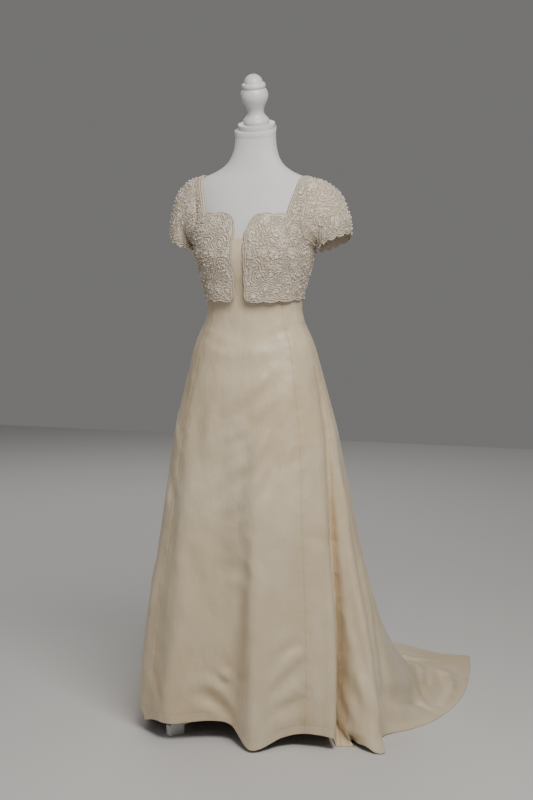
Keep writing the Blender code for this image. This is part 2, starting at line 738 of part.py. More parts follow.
LACE_CLOTH = finish("corded_lace", (0.72, 0.68, 0.60), 0.75)
lace_half("lace_front_left", LACE_FRONT, 1, LACE_CLOTH)
lace_half("lace_front_right", LACE_FRONT, -1, LACE_CLOTH)
lace_half("lace_back_left", LACE_BACK, 1, LACE_CLOTH)
lace_half("lace_back_right", LACE_BACK, -1, LACE_CLOTH)
sleeve("sleeve_left", 1, SPREAD_LEFT, LACE_CLOTH)
sleeve("sleeve_right", -1, SPREAD_RIGHT, LACE_CLOTH)

form_body(finish("jersey", (0.80, 0.80, 0.79), 0.85))
PAINT = finish("white_paint", (0.84, 0.84, 0.83), 0.25)
cap = turned("neck_cap", NECK_CAP, PAINT)
finial = turned("finial", FINIAL, PAINT)
for piece, rise in ((cap, HARD_GAP), (finial, NECK_CAP[-1].height + 2 * HARD_GAP)):
    piece.rotation_euler.x = NECK_TILT
    piece.location = (
        NECK_CENTRE[0],
        NECK_CENTRE[1] - rise * math.sin(NECK_TILT),
        NECK_CENTRE[2] + rise * math.cos(NECK_TILT),
    )
turned("pole", POLE, PAINT)
turned("hub", HUB, PAINT)
for number, bearing in enumerate(LEG_ANGLES, 1):
    leg(f"leg_{number}", bearing, PAINT)
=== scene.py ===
"""Looks of a floor-length satin wedding dress with a corded lace overbodice, on a limbless dress form.

Metres, +Z up. Angles go round the body from the centre front, positive towards the wearer's left,
which is +X. Shapes are worked out about the form's axis and then moved to where the frame has it.
"""

from __future__ import annotations

import logging
import math
from dataclasses import dataclass, field
from enum import Enum
from typing import Any, NamedTuple, Sequence

import bpy
import numpy as np
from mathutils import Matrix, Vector

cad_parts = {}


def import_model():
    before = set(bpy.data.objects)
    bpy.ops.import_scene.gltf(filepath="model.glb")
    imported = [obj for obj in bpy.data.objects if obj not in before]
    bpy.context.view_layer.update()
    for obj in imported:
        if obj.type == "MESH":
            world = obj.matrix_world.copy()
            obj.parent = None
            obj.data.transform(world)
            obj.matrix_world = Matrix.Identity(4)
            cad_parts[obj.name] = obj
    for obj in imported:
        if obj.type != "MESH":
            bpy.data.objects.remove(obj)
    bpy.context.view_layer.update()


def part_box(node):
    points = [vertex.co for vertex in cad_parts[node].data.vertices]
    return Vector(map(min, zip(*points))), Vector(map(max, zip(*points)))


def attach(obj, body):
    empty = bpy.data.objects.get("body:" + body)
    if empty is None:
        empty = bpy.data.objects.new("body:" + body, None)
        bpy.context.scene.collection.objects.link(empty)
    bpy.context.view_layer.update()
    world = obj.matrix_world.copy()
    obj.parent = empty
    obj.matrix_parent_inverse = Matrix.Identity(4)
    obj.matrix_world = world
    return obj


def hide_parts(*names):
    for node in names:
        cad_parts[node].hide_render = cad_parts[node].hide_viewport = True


LOG = logging.getLogger("wedding_dress")
BODY = "root"

NO_LENGTH = 1e-12
ON_FLOOR = 1e-6
NECK_TILT = math.radians(14.0)
NECK_Y = 0.018

Array = np.ndarray
Pair = tuple[Array, Array]
Colour = tuple[float, float, float]
Triple = tuple[float, float, float]


class Hold(Enum):
    """How a sheet of cloth is held."""

    DRAPED = "draped"
    GATHERED = "gathered"


class Side(Enum):
    """The wearer's two sides."""

    LEFT = 1
    RIGHT = -1

    @property
    def word(self) -> str:
        """The side's name in a piece's name."""
        return self.name.lower()


class Section(NamedTuple):
    """One level of a body or skirt: its height and its reach sideways, forwards and back."""

    z: float
    half_width: float
    front: float
    back: float


class Profile(NamedTuple):
    """One station down the train: the shares of its height still left and of its reach gained."""

    along: float
    drop: float
    reach: float


class Hem(NamedTuple):
    """One crest or valley of the hem: its angle round the dress and its place."""

    angle: float
    x: float
    y: float
    z: float


class Oval(NamedTuple):
    """One ring of a sleeve, turned outwards from upright about its low point."""

    turn: float
    length: float
    half_depth: float
    low_x: float
    low_z: float


class LaceCut(NamedTuple):
    """Half of the overbodice: angles in degrees from its own centre line, and the neckline's height."""

    first: float
    corner: float
    armhole: float
    neckline: float


class Turned(NamedTuple):
    """One ring of a lathe-turned piece."""

    radius: float
    height: float


class LegSection(NamedTuple):
    """One upright cut through a foot of the stand."""

    out: float
    low: float
    high: float


# The form's body, from its underside to the top of its neck.
FORM = (
    Section(0.745, 0.120, 0.080, 0.090),
    Section(0.752, 0.146, 0.098, 0.112),
    Section(0.780, 0.156, 0.105, 0.120),
    Section(0.820, 0.162, 0.108, 0.124),
    Section(0.860, 0.164, 0.108, 0.122),
    Section(0.910, 0.157, 0.103, 0.112),
    Section(0.950, 0.147, 0.098, 0.102),
    Section(0.985, 0.134, 0.092, 0.093),
    Section(1.020, 0.121, 0.087, 0.085),
    Section(1.050, 0.1155, 0.085, 0.081),
    Section(1.080, 0.1170, 0.087, 0.081),
    Section(1.115, 0.125, 0.093, 0.085),
    Section(1.150, 0.136, 0.102, 0.090),
    Section(1.190, 0.1455, 0.109, 0.097),
    Section(1.230, 0.1490, 0.107, 0.102),
    Section(1.265, 0.1505, 0.098, 0.104),
    Section(1.295, 0.1530, 0.087, 0.104),
    Section(1.318, 0.1560, 0.077, 0.100),
    Section(1.335, 0.1570, 0.069, 0.094),
    Section(1.348, 0.1560, 0.063, 0.088),
    Section(1.360, 0.1480, 0.057, 0.082),
    Section(1.372, 0.1260, 0.050, 0.074),
    Section(1.386, 0.0940, 0.043, 0.068),
    Section(1.404, 0.0700, 0.038, 0.065),
    Section(1.426, 0.0570, 0.034, 0.064),
    Section(1.452, 0.0505, 0.031, 0.066),
    Section(1.476, 0.0490, 0.030, 0.066),
    Section(1.484, 0.0500, 0.0325, 0.0685),
    Section(1.492, 0.0500, 0.0325, 0.0685),
)
# The skirt as it would hang with no train or folds, from just under the floor to the waist.
SKIRT = (
    Section(-0.020, 0.302, 0.226, 0.290),
    Section(0.150, 0.290, 0.218, 0.268),
    Section(0.310, 0.270, 0.205, 0.242),
    Section(0.460, 0.244, 0.188, 0.214),
    Section(0.616, 0.221, 0.167, 0.186),
    Section(0.743, 0.202, 0.148, 0.164),
    Section(0.819, 0.184, 0.136, 0.150),
    Section(0.890, 0.167, 0.121, 0.133),
    Section(0.950, 0.152, 0.106, 0.113),
    Section(0.985, 0.140, 0.0965, 0.0975),
    Section(1.020, 0.1236, 0.0896, 0.0876),
)
# The train from the skirt's start to its hem.
TRAIN = (
    Profile(0.000, 1.000, 0.00),
    Profile(0.269, 0.648, 0.05),
    Profile(0.411, 0.463, 0.09),
    Profile(0.567, 0.274, 0.20),
    Profile(0.727, 0.105, 0.40),
    Profile(0.842, 0.010, 0.60),
    Profile(1.000, 0.000, 1.00),
)
# The hem, once round from the centre back.
HEM = (
    Hem(-180.0, 0.000, 0.842, 0.000),
    Hem(-168.0, -0.185, 0.800, 0.000),
    Hem(-156.0, -0.330, 0.735, 0.000),
    Hem(-146.0, -0.392, 0.620, 0.000),
    Hem(-136.0, -0.366, 0.470, 0.000),
    Hem(-126.0, -0.392, 0.350, 0.000),
    Hem(-114.0, -0.334, 0.205, 0.003),
    Hem(-104.0, -0.338, 0.105, 0.010),
    Hem(-94.0, -0.283, 0.030, 0.005),
    Hem(-82.0, -0.297, -0.050, 0.008),
    Hem(-70.0, -0.268, -0.122, 0.013),
    Hem(-58.0, -0.250, -0.178, 0.025),
    Hem(-46.0, -0.203, -0.214, 0.040),
    Hem(-30.0, -0.138, -0.250, 0.045),
    Hem(-10.0, -0.045, -0.206, 0.049),
    Hem(3.0, 0.006, -0.208, 0.040),
    Hem(14.0, 0.074, -0.274, 0.006),
    Hem(28.0, 0.132, -0.214, 0.024),
    Hem(48.0, 0.186, -0.196, 0.034),
    Hem(62.0, 0.226, -0.196, 0.034),
    Hem(76.0, 0.264, -0.190, 0.028),
    Hem(83.0, 0.226, -0.098, 0.010),
    Hem(89.0, 0.292, -0.166, 0.002),
    Hem(94.0, 0.372, -0.188, 0.000),
    Hem(99.5, 0.350, -0.064, 0.000),
    Hem(107.0, 0.404, 0.018, 0.000),
    Hem(115.0, 0.448, 0.118, 0.000),
    Hem(126.0, 0.472, 0.290, 0.000),
    Hem(138.0, 0.460, 0.480, 0.000),
    Hem(150.0, 0.414, 0.704, 0.000),
    Hem(158.0, 0.318, 0.728, 0.000),
    Hem(168.0, 0.190, 0.806, 0.000),
    Hem(180.0, 0.000, 0.842, 0.000),
)
# A sleeve's rings, from the armhole to its hem.
SLEEVE = (
    Oval(0.0, 0.1670, 0.056, 0.1560, 1.2050),
    Oval(6.0, 0.1620, 0.062, 0.1575, 1.2042),
    Oval(18.0, 0.1470, 0.065, 0.1590, 1.2030),
    Oval(31.0, 0.1220, 0.066, 0.1600, 1.2015),
    Oval(47.0, 0.1010, 0.065, 0.1608, 1.1995),
    Oval(58.0, 0.0890, 0.064, 0.1614, 1.1970),
    Oval(67.0, 0.0815, 0.063, 0.1620, 1.1940),
)
# Turned pieces from the bottom up. Heights are from the finial's or cap's own foot, or from the floor.
FINIAL = (
    Turned(0.0310, 0.0000),
    Turned(0.0320, 0.0019),
    Turned(0.0323, 0.0057),
    Turned(0.0312, 0.0095),
    Turned(0.0285, 0.0129),
    Turned(0.0250, 0.0167),
    Turned(0.0222, 0.0205),
    Turned(0.0206, 0.0248),
    Turned(0.0203, 0.0296),
    Turned(0.0212, 0.0349),
    Turned(0.0237, 0.0411),
    Turned(0.0272, 0.0478),
    Turned(0.0306, 0.0544),
    Turned(0.0330, 0.0606),
    Turned(0.0341, 0.0669),
    Turned(0.0337, 0.0726),
    Turned(0.0321, 0.0783),
    Turned(0.0297, 0.0831),
    Turned(0.0276, 0.0859),
    Turned(0.0272, 0.0871),
    Turned(0.0284, 0.0879),
    Turned(0.0292, 0.0902),
    Turned(0.0294, 0.0931),
    Turned(0.0287, 0.0960),
    Turned(0.0268, 0.0979),
    Turned(0.0235, 0.0986),
    Turned(0.0230, 0.0993),
    Turned(0.0226, 0.1027),
    Turned(0.0212, 0.1074),
    Turned(0.0188, 0.1117),
    Turned(0.0154, 0.1153),
    Turned(0.0112, 0.1180),
    Turned(0.0064, 0.1199),
    Turned(0.0020, 0.1207),
)
NECK_CAP = (
    Turned(0.0455, 0.0000),
    Turned(0.0462, 0.0010),
    Turned(0.0462, 0.0085),
    Turned(0.0455, 0.0105),
    Turned(0.0438, 0.0115),
    Turned(0.0300, 0.0115),
)
HUB = (
    Turned(0.0262, 0.070),
    Turned(0.0270, 0.0710),
    Turned(0.0270, 0.140),
    Turned(0.0262, 0.1465),
    Turned(0.0240, 0.150),
    Turned(0.0140, 0.150),
)
POLE = (
    Turned(0.0125, 0.1503),
    Turned(0.0125, 0.6900),
    Turned(0.0150, 0.7050),
    Turned(0.0290, 0.7230),
    Turned(0.0300, 0.7260),
    Turned(0.0300, 0.7440),
    Turned(0.0293, 0.7447),
)
# A foot of the stand, from the hub out to its tip.
LEG = (
    LegSection(0.0273, 0.0780, 0.1360),
    LegSection(0.060, 0.0722, 0.1280),
    LegSection(0.090, 0.0660, 0.1170),
    LegSection(0.120, 0.0550, 0.1060),
    LegSection(0.150, 0.0420, 0.0915),
    LegSection(0.175, 0.0290, 0.0792),
    LegSection(0.195, 0.0260, 0.0690),
    LegSection(0.2188, 0.0225, 0.0530),
    LegSection(0.220, 0.0000, 0.0522),
    LegSection(0.238, 0.0000, 0.0400),
    LegSection(0.262, 0.0000, 0.0260),
)
# The two cuts of the overbodice.
LACE_FRONT = LaceCut(3.5, 40.0, 55.0, 1.283)
LACE_BACK = LaceCut(0.075, 44.0, 57.0, 1.300)


def smooth(xs: Sequence[float], ys: Sequence[float], at: Array) -> Array:
    """Monotone cubic through a table.

    Args:
        xs: Places, rising.
        ys: Values at those places.
        at: Places to read.

    Returns:
        The values there, held level past the ends.
    """
    xs = np.asarray(xs, float)
    ys = np.asarray(ys, float)
    at = np.clip(np.asarray(at, float), xs[0], xs[-1])
    step = np.diff(xs)
    rise = np.diff(ys) / step
    slope = np.zeros(len(xs))
    slope[0] = rise[0]
    slope[-1] = rise[-1]
    weight_a = 2 * step[1:] + step[:-1]
    weight_b = step[1:] + 2 * step[:-1]
    with np.errstate(divide="ignore", invalid="ignore"):
        mean = (weight_a + weight_b) / (weight_a / rise[:-1] + weight_b / rise[1:])
    slope[1:-1] = np.where(rise[:-1] * rise[1:] > 0, mean, 0.0)
    return hermite(xs, ys, slope, at)


def hermite(xs: Array, ys: Array, slope: Array, at: Array) -> Array:
    """Cubic with given slopes.

    Args:
        xs: Places of the knots.
        ys: Values at the knots.
        slope: Slopes at the knots.
        at: Places to read.

    Returns:
        The values there.
    """
    i = np.clip(np.searchsorted(xs, at, side="right") - 1, 0, len(xs) - 2)
    h = xs[i + 1] - xs[i]
    t = (at - xs[i]) / h
    a = (1 + 2 * t) * (1 - t) ** 2 * ys[i]
    b = t * (1 - t) ** 2 * h * slope[i]
    c = t * t * (3 - 2 * t) * ys[i + 1]
    d = t * t * (t - 1) * h * slope[i + 1]
    return a + b + c + d


def closed(angles: Sequence[float], values: Sequence[float], at: Array) -> Array:
    """Smooth periodic curve.

    Args:
        angles: Knots from -180 to 180 degrees.
        values: Values at the knots, the first equal to the last.
        at: Angles to read.

    Returns:
        The values there.
    """
    xs = np.asarray(angles, float)
    ys = np.asarray(values, float)
    before = np.concatenate([[xs[-2] - 360.0], xs[:-1]])
    after = np.concatenate([xs[1:], [xs[1] + 360.0]])
    lower = np.concatenate([[ys[-2]], ys[:-1]])
    upper = np.concatenate([ys[1:], [ys[1]]])
    return hermite(xs, ys, (upper - lower) / (after - before), wrap(at))


def step_up(low: float, high: float, at: Array) -> Array:
    """0 below low, 1 above high, smooth between."""
    t = np.clip((np.asarray(at, float) - low) / (high - low), 0.0, 1.0)
    return t * t * (3 - 2 * t)


def wrap(angle: Array) -> Array:
    """An angle between -180 and 180 degrees."""
    return (np.asarray(angle, float) + 180.0) % 360.0 - 180.0


def column(rows: Sequence[Any], name: str) -> list[float]:
    """One named column of a table."""
    return [getattr(row, name) for row in rows]


def unit(vectors: Array) -> Array:
    """The same directions, one long."""
    return vectors / np.maximum(np.linalg.norm(vectors, axis=-1, keepdims=True), NO_LENGTH)


def reaches(sections: Sequence[Section], z: Array) -> list[Array]:
    """Half width, front and back of a body at a height."""
    levels = column(sections, "z")
    return [smooth(levels, column(sections, name), z) for name in ("half_width", "front", "back")]


def run_length(points: Array, axis: int) -> Array:
    """Length gone along each line of a grid of points.

    Args:
        points: A grid of points.
        axis: 0 to go down the rows, 1 to go across the columns.

    Returns:
        The length at each point of the grid.
    """
    steps = np.linalg.norm(np.diff(points, axis=axis), axis=-1)
    return np.concatenate([np.zeros_like(np.take(steps, [0], axis)), steps.cumsum(axis)], axis)


@dataclass(frozen=True)
class FormShape:
    """The dress form's surface."""

    fullness: float = 0.89
    bust_angle: float = 30.0
    bust_spread: float = 24.0
    bust_z: float = 1.188
    bust_rise: float = 0.052
    bust_height: float = 0.010

    def oval(self, angle: Array, half_width: Array, front: Array, back: Array) -> Pair:
        """Plan position on a body section.

        Args:
            angle: Degrees from the centre front.
            half_width: The section's reach to the side.
            front: Its reach forwards.
            back: Its reach backwards.

        Returns:
            x and y.
        """
        s = np.sin(np.radians(angle))
        c = np.cos(np.radians(angle))
        depth = np.where(c > 0, front, back)
        x = half_width * np.sign(s) * np.abs(s) ** self.fullness
        return x, -depth * np.sign(c) * np.abs(c) ** self.fullness

    def point(self, angle: Array, z: Array) -> Array:
        """Point on the form.

        Args:
            angle: Degrees from the centre front.
            z: Height.

        Returns:
            The point.
        """
        angle = np.asarray(angle, float)
        z = np.asarray(z, float)
        x, y = self.oval(angle, *reaches(FORM, z))
        off_bust = (np.abs(wrap(angle)) - self.bust_angle) / self.bust_spread
        off_level = (z - self.bust_z) / self.bust_rise
        bump = self.bust_height * np.exp(-(off_bust**2) - off_level**2)
        grown = 1 + bump / np.maximum(np.hypot(x, y), NO_LENGTH)
        return np.stack([x * grown, y * grown, z + 0 * x], axis=-1)

    def away(self, angle: Array, z: Array, turn: float, rise: float) -> Array:
        """Way out of the form's surface.

        Args:
            angle: Degrees from the centre front.
            z: Height.
            turn: Half the span in degrees over which the slope is taken.
            rise: Half the span in metres.

        Returns:
            Unit vectors that point out.
        """
        across = self.point(angle + turn, z) - self.point(angle - turn, z)
        down = self.point(angle, z - rise) - self.point(angle, z + rise)
        return unit(np.cross(down, across))

    def level(self, points: Array) -> Array:
        """Tells the form's inside from its outside, above its bust.

        Args:
            points: The points to judge.

        Returns:
            Below 1 inside, above 1 outside.
        """
        x, y, z = np.moveaxis(points, -1, 0)
        wide, front, back = reaches(FORM, z)
        deep = np.where(y < 0, front, back)
        return (np.abs(x) / wide) ** (2 / self.fullness) + (np.abs(y) / deep) ** (2 / self.fullness)


SHAPE = FormShape()


class Value:
    """A number that varies over a surface: a socket that can be reckoned with."""

    def __init__(self, nodes: Nodes, socket: Any) -> None:
        """Wraps a socket of a material's nodes."""
        self.nodes = nodes
        self.socket = socket

    def math(self, operation: str, *others: Any, clamp: bool = False) -> Value:
        """This value put through one Math node.

        Args:
            operation: The node's operation.
            others: Values or numbers for its further sockets.
            clamp: Whether the result is held between 0 and 1.

        Returns:
            The result.
        """
        settings = {"operation": operation, "use_clamp": clamp}
        inputs = dict(enumerate((self, *others)))
        return self.nodes.add("ShaderNodeMath", settings, inputs)

    def __add__(self, other: Any) -> Value:
        """The sum."""
        return self.math("ADD", other)

    def __sub__(self, other: Any) -> Value:
        """The difference."""
        return self.math("SUBTRACT", other)

    def __mul__(self, other: Any) -> Value:
        """The product."""
        return self.math("MULTIPLY", other)

    def __pow__(self, power: float) -> Value:
        """This value to a power."""
        return self.math("POWER", power)

    def clamped(self) -> Value:
        """This value held between 0 and 1."""
        return self.math("ADD", 0.0, clamp=True)


class Nodes:
    """The nodes of one material."""

    def __init__(self, name: str, colour: Colour, roughness: float, **uniform: float) -> None:
        """Starts a material.

        Args:
            name: The material's name.
            colour: Its colour before anything varies it.
            roughness: Its roughness before anything varies it.
            uniform: Other shader values that are the same all over, by socket name with _ for a space.
        """
        self.material = bpy.data.materials.new(name)
        self.material.use_nodes = True
        self.tree = self.material.node_tree
        self.shader = self.tree.nodes["Principled BSDF"]
        self.set("Base Color", (*colour, 1.0))
        self.set("Roughness", roughness)
        for word, value in uniform.items():
            self.set(word.replace("_", " ").title(), value)

    def set(self, socket: str, value: Any) -> None:
        """Gives one of the shader's sockets a number, a colour or a link."""
        self.feed(self.shader.inputs[socket], value)

    def feed(self, target: Any, value: Any) -> None:
        """Sets or links one socket.

        Args:
            target: The socket.
            value: What it is given: a value that varies, or a number or colour.
        """
        if isinstance(value, Value):
            self.tree.links.new(value.socket, target)
        else:
            target.default_value = value

    def add(self, kind: str, settings: dict[str, Any], inputs: dict[Any, Any], output: Any = 0) -> Value:
        """Makes one node.

        Args:
            kind: The node's type.
            settings: Its own settings, set first.
            inputs: Values or links of its sockets, by name or number.
            output: Name or number of the output that is wanted.

        Returns:
            That output.
        """
        node = self.tree.nodes.new(kind)
        for word, value in settings.items():
            setattr(node, word, value)
        for socket, value in inputs.items():
            self.feed(node.inputs[socket], value)
        return Value(self, node.outputs[output])

    def place(self) -> Value:
        """Object coordinates."""
        return self.add("ShaderNodeTexCoord", {}, {}, "Object")

    def cut(self) -> Value:
        """The piece's own flat pattern, in metres."""
        return self.add("ShaderNodeUVMap", {"uv_map": "cut"}, {})

    def kept(self, name: str) -> Value:
        """A number stored at each point of the mesh."""
        return self.add("ShaderNodeAttribute", {"attribute_name": name}, {}, "Fac")

    def noise(self, where: Value, scale: float, detail: float = 2.0, rough: float = 0.5) -> Value:
        """Soft noise from 0 to 1, scale lumps a metre."""
        inputs = {"Vector": where, "Scale": scale, "Detail": detail, "Roughness": rough}
        return self.add("ShaderNodeTexNoise", {}, inputs)

    def stretched(self, where: Value, scale: Triple, turn: float = 0.0) -> Value:
        """Coordinates stretched by a scale and turned about Z."""
        inputs = {"Vector": where, "Scale": scale, "Rotation": (0.0, 0.0, turn)}
        return self.add("ShaderNodeMapping", {}, inputs)

    def blend(self, share: Any, low: Any, high: Any) -> Value:
        """A colour between two others.

        Args:
            share: How much of the second there is.
            low: The first.
            high: The second.

        Returns:
            The colour.
        """
        ends = [(*c, 1.0) if isinstance(c, tuple) else c for c in (low, high)]
        settings = {"data_type": "RGBA"}
        return self.add("ShaderNodeMix", settings, {0: share, 6: ends[0], 7: ends[1]}, 2)

    def bump(self, height: Value, distance: float, strength: float = 1.0, under: Any = None) -> Value:
        """A bumped normal.

        Args:
            height: The relief from 0 to 1.
            distance: Its full height in metres.
            strength: How much of it shows.
            under: The normal that it is laid on, if any.

        Returns:
            The normal.
        """
        inputs = {"Height": height, "Distance": distance, "Strength": strength}
        if under is not None:
            inputs["Normal"] = under
        return self.add("ShaderNodeBump", {}, inputs)


@dataclass(frozen=True)
class Satin:
    """Heavy ivory bridal satin with a soft lustre."""

    colour: Colour = (0.800, 0.697, 0.522)
    # The shade colour is a painted shaded copy of the satin, blended in below.
    shade: Colour = (0.682, 0.546, 0.356)
    roughness: float = 0.43
    clouds: float = 3.2
    dents: float = 8.0
    ripples: float = 22.0
    slubs: Triple = (420.0, 24.0, 1.0)
    puckers: Triple = (26.0, 75.0, 1.0)
    threads: float = 2600.0
    drape_depth: float = 0.030
    pucker_depth: float = 0.0020
    ripple_depth: float = 0.0056
    slub_depth: float = 0.00022
    thread_depth: float = 0.00006

    def build(self) -> bpy.types.Material:
        """Makes the material.

        Returns:
            The material.
        """
        n = Nodes("ivory_satin", self.colour, self.roughness, anisotropic=0.35, sheen_weight=0.15)
        n.set("Sheen Roughness", 0.4)
        place = n.place()
        cut = n.cut()
        cloud = n.noise(place, self.clouds, 3.0)
        ripple = n.noise(n.stretched(place, (1.0, 1.0, 0.55)), self.ripples, 3.0, 0.55)
        slub = n.noise(n.stretched(cut, self.slubs), 1.0, 2.0)
        dents = n.noise(n.stretched(place, (1.0, 1.0, 0.7)), self.dents, 2.0)
        # The seam mask also darkens the colour in a band along each seam: painted shade of the seam's groove
        # and puckers.
        seam = n.kept("seam")
        hanging = n.kept("hanging")
        pull = n.noise(n.stretched(cut, self.puckers), 1.0, 2.0)
        # Painted shade: the colour goes towards the shade colour in the hollows of the dents and ripples
        # that the bumps also raise, for the mottled shade of the folds; the clouds add random tone, and the
        # slubs are the yarn's own.
        share = (cloud * 0.45 + dents * 0.30 + ripple * 0.15 + slub * 0.10 - 0.39) * 3.2 - seam * 0.22
        n.set("Base Color", n.blend(share.clamped(), self.shade, self.colour))
        n.set("Roughness", ripple * 0.10 + slub * 0.05 + (self.roughness - 0.07))
        thread = n.noise(n.stretched(cut, (self.threads, self.threads * 0.25, 1.0)), 1.0, 1.0)
        drape = n.bump(dents * hanging, self.drape_depth, 0.65)
        pulled = n.bump(pull * seam, self.pucker_depth, 0.8, drape)
        soft = n.bump(ripple * hanging, self.ripple_depth, 0.75, pulled)
        fine = n.bump(slub, self.slub_depth, 0.5, soft)
        n.set("Normal", n.bump(thread, self.thread_depth, 0.5, fine))
        return n.material


@dataclass(frozen=True)
class CordedLace:
    """Ecru net covered with corded rosettes and scrolls."""

    cord: Colour = (0.770, 0.680, 0.550)
    # The net colour is painted shade: much darker than the ecru net, it stands for the shade in the holes
    # and gaps between the cords.
    net: Colour = (0.230, 0.170, 0.110)
    petal: Colour = (0.860, 0.795, 0.690)
    # A darker tone, used for the net's threads in the gaps between the cords, where it is painted shade, and
    # for random darker patches.
    darker_tone: Colour = (0.560, 0.455, 0.330)
    roughness: float = 0.55
    mesh: float = 900.0
    twists: float = 1500.0
    clouds: float = 55.0
    depth: float = 0.0017

    def build(self) -> bpy.types.Material:
        """Makes the material.

        Returns:
            The material.
        """
        n = Nodes("corded_lace", self.cord, self.roughness, sheen_weight=0.25)
        n.set("Sheen Roughness", 0.5)
        cut = n.cut()
        ahead = n.kept("cord_cosine")
        aside = n.kept("cord_sine")
        ridge = ahead * (ahead * ahead + aside * aside + 0.03) ** -0.5 * 0.5 + 0.5
        fill = n.kept("fill").clamped()
        raised = (ridge ** 0.8).math("MAXIMUM", fill)
        edges = {"feature": "DISTANCE_TO_EDGE"}
        ground = n.add("ShaderNodeTexVoronoi", edges, {"Vector": cut, "Scale": self.mesh})
        twist = n.noise(n.stretched(cut, (1.0, 1.0, 1.0), 0.6), self.twists, 1.0)
        cloud = n.noise(cut, self.clouds, 3.0)
        # Painted shade in the gaps: the low ground between the raised cords takes the dark net colours,
        # while the cords and petal fills keep their own lighter colours.
        low = n.blend((ground * 3.0).clamped(), self.darker_tone, self.net)
        worked = n.blend((raised * 1.2 - 0.1).clamped(), low, self.cord)
        whole = n.blend((fill * 0.9).clamped(), worked, self.petal)
        n.set("Base Color", n.blend((cloud * 1.6 - 0.5).clamped(), whole, n.blend(0.5, whole, self.darker_tone)))
        n.set("Roughness", fill * -0.20 + self.roughness)
        height = raised + fill * 0.35 + twist * 0.10
        n.set("Normal", n.bump(height, self.depth))
        return n.material


@dataclass(frozen=True)
class Jersey:
    """The fine white knit that covers the form."""

    colour: Colour = (0.750, 0.750, 0.740)
    shade: Colour = (0.690, 0.690, 0.680)
    roughness: float = 0.86
    clouds: float = 9.0
    knit_scale: float = 111.412
    knit_depth: float = 0.00012

    def build(self) -> bpy.types.Material:
        """Makes the material.

        Returns:
            The material.
        """
        n = Nodes("jersey", self.colour, self.roughness, sheen_weight=0.3)
        n.set("Sheen Roughness", 0.6)
        cloud = n.noise(n.place(), self.clouds, 3.0)
        n.set("Base Color", n.blend(cloud, self.shade, self.colour))
        bands = {"wave_type": "BANDS", "bands_direction": "X"}
        across = {"Vector": n.cut(), "Scale": self.knit_scale, "Distortion": 1.2}
        knit = n.add("ShaderNodeTexWave", bands, across)
        n.set("Roughness", cloud * 0.08 + (self.roughness - 0.04))
        n.set("Normal", n.bump(knit, self.knit_depth, 0.6, n.bump(cloud, 0.0006, 0.4)))
        return n.material


@dataclass(frozen=True)
class GlossPaint:
    """White gloss paint on turned wood."""

    colour: Colour = (0.700, 0.700, 0.705)
    darker_tone: Colour = (0.640, 0.635, 0.630)
    roughness: float = 0.36
    clouds: float = 26.0
    strokes: Triple = (90.0, 90.0, 900.0)

    def build(self) -> bpy.types.Material:
        """Makes the material.

        Returns:
            The material.
        """
        n = Nodes("white_paint", self.colour, self.roughness, coat_weight=0.2, coat_roughness=0.2)
        place = n.place()
        cloud = n.noise(place, self.clouds, 3.0)
        brush = n.noise(n.stretched(place, self.strokes), 1.0, 2.0)
        n.set("Base Color", n.blend(cloud ** 2.0, self.colour, self.darker_tone))
        n.set("Roughness", cloud * 0.10 + (self.roughness - 0.04))
        n.set("Normal", n.bump(brush, 0.00004, 0.3, n.bump(cloud, 0.0003, 0.3)))
        return n.material


@dataclass(frozen=True)
class Pearl:
    """Small lustrous beads."""

    colour: Colour = (0.80, 0.74, 0.65)
    warm: Colour = (0.74, 0.64, 0.53)
    roughness: float = 0.18
    clouds: float = 160.0

    def build(self) -> bpy.types.Material:
        """Makes the material.

        Returns:
            The material.
        """
        n = Nodes("pearl", self.colour, self.roughness, coat_weight=0.6, coat_roughness=0.08)
        cloud = n.noise(n.place(), self.clouds, 2.0)
        n.set("Base Color", n.blend(cloud, self.warm, self.colour))
        n.set("Roughness", cloud * 0.12 + (self.roughness - 0.05))
        n.set("Normal", n.bump(cloud, 0.0001, 0.3))
        return n.material


@dataclass(frozen=True)
class Floor:
    """A plain pale floor."""

    colour: Colour = (0.70, 0.69, 0.675)
    roughness: float = 0.75
    clouds: float = 2.0
    grain: float = 260.0

    def build(self) -> bpy.types.Material:
        """Makes the material.

        Returns:
            The material.
        """
        n = Nodes("pale_floor", self.colour, self.roughness)
        place = n.place()
        cloud = n.noise(place, self.clouds, 3.0)
        n.set("Base Color", n.blend(cloud, tuple(0.97 * c for c in self.colour), self.colour))
        n.set("Normal", n.bump(n.noise(place, self.grain, 2.0), 0.0003, 0.25))
        return n.material


@dataclass
class Finishes:
    """One of each material, made once."""

    satin: bpy.types.Material = field(default_factory=lambda: Satin().build())
    lace: bpy.types.Material = field(default_factory=lambda: CordedLace().build())
    jersey: bpy.types.Material = field(default_factory=lambda: Jersey().build())
    paint: bpy.types.Material = field(default_factory=lambda: GlossPaint().build())
    pearl: bpy.types.Material = field(default_factory=lambda: Pearl().build())
    floor: bpy.types.Material = field(default_factory=lambda: Floor().build())


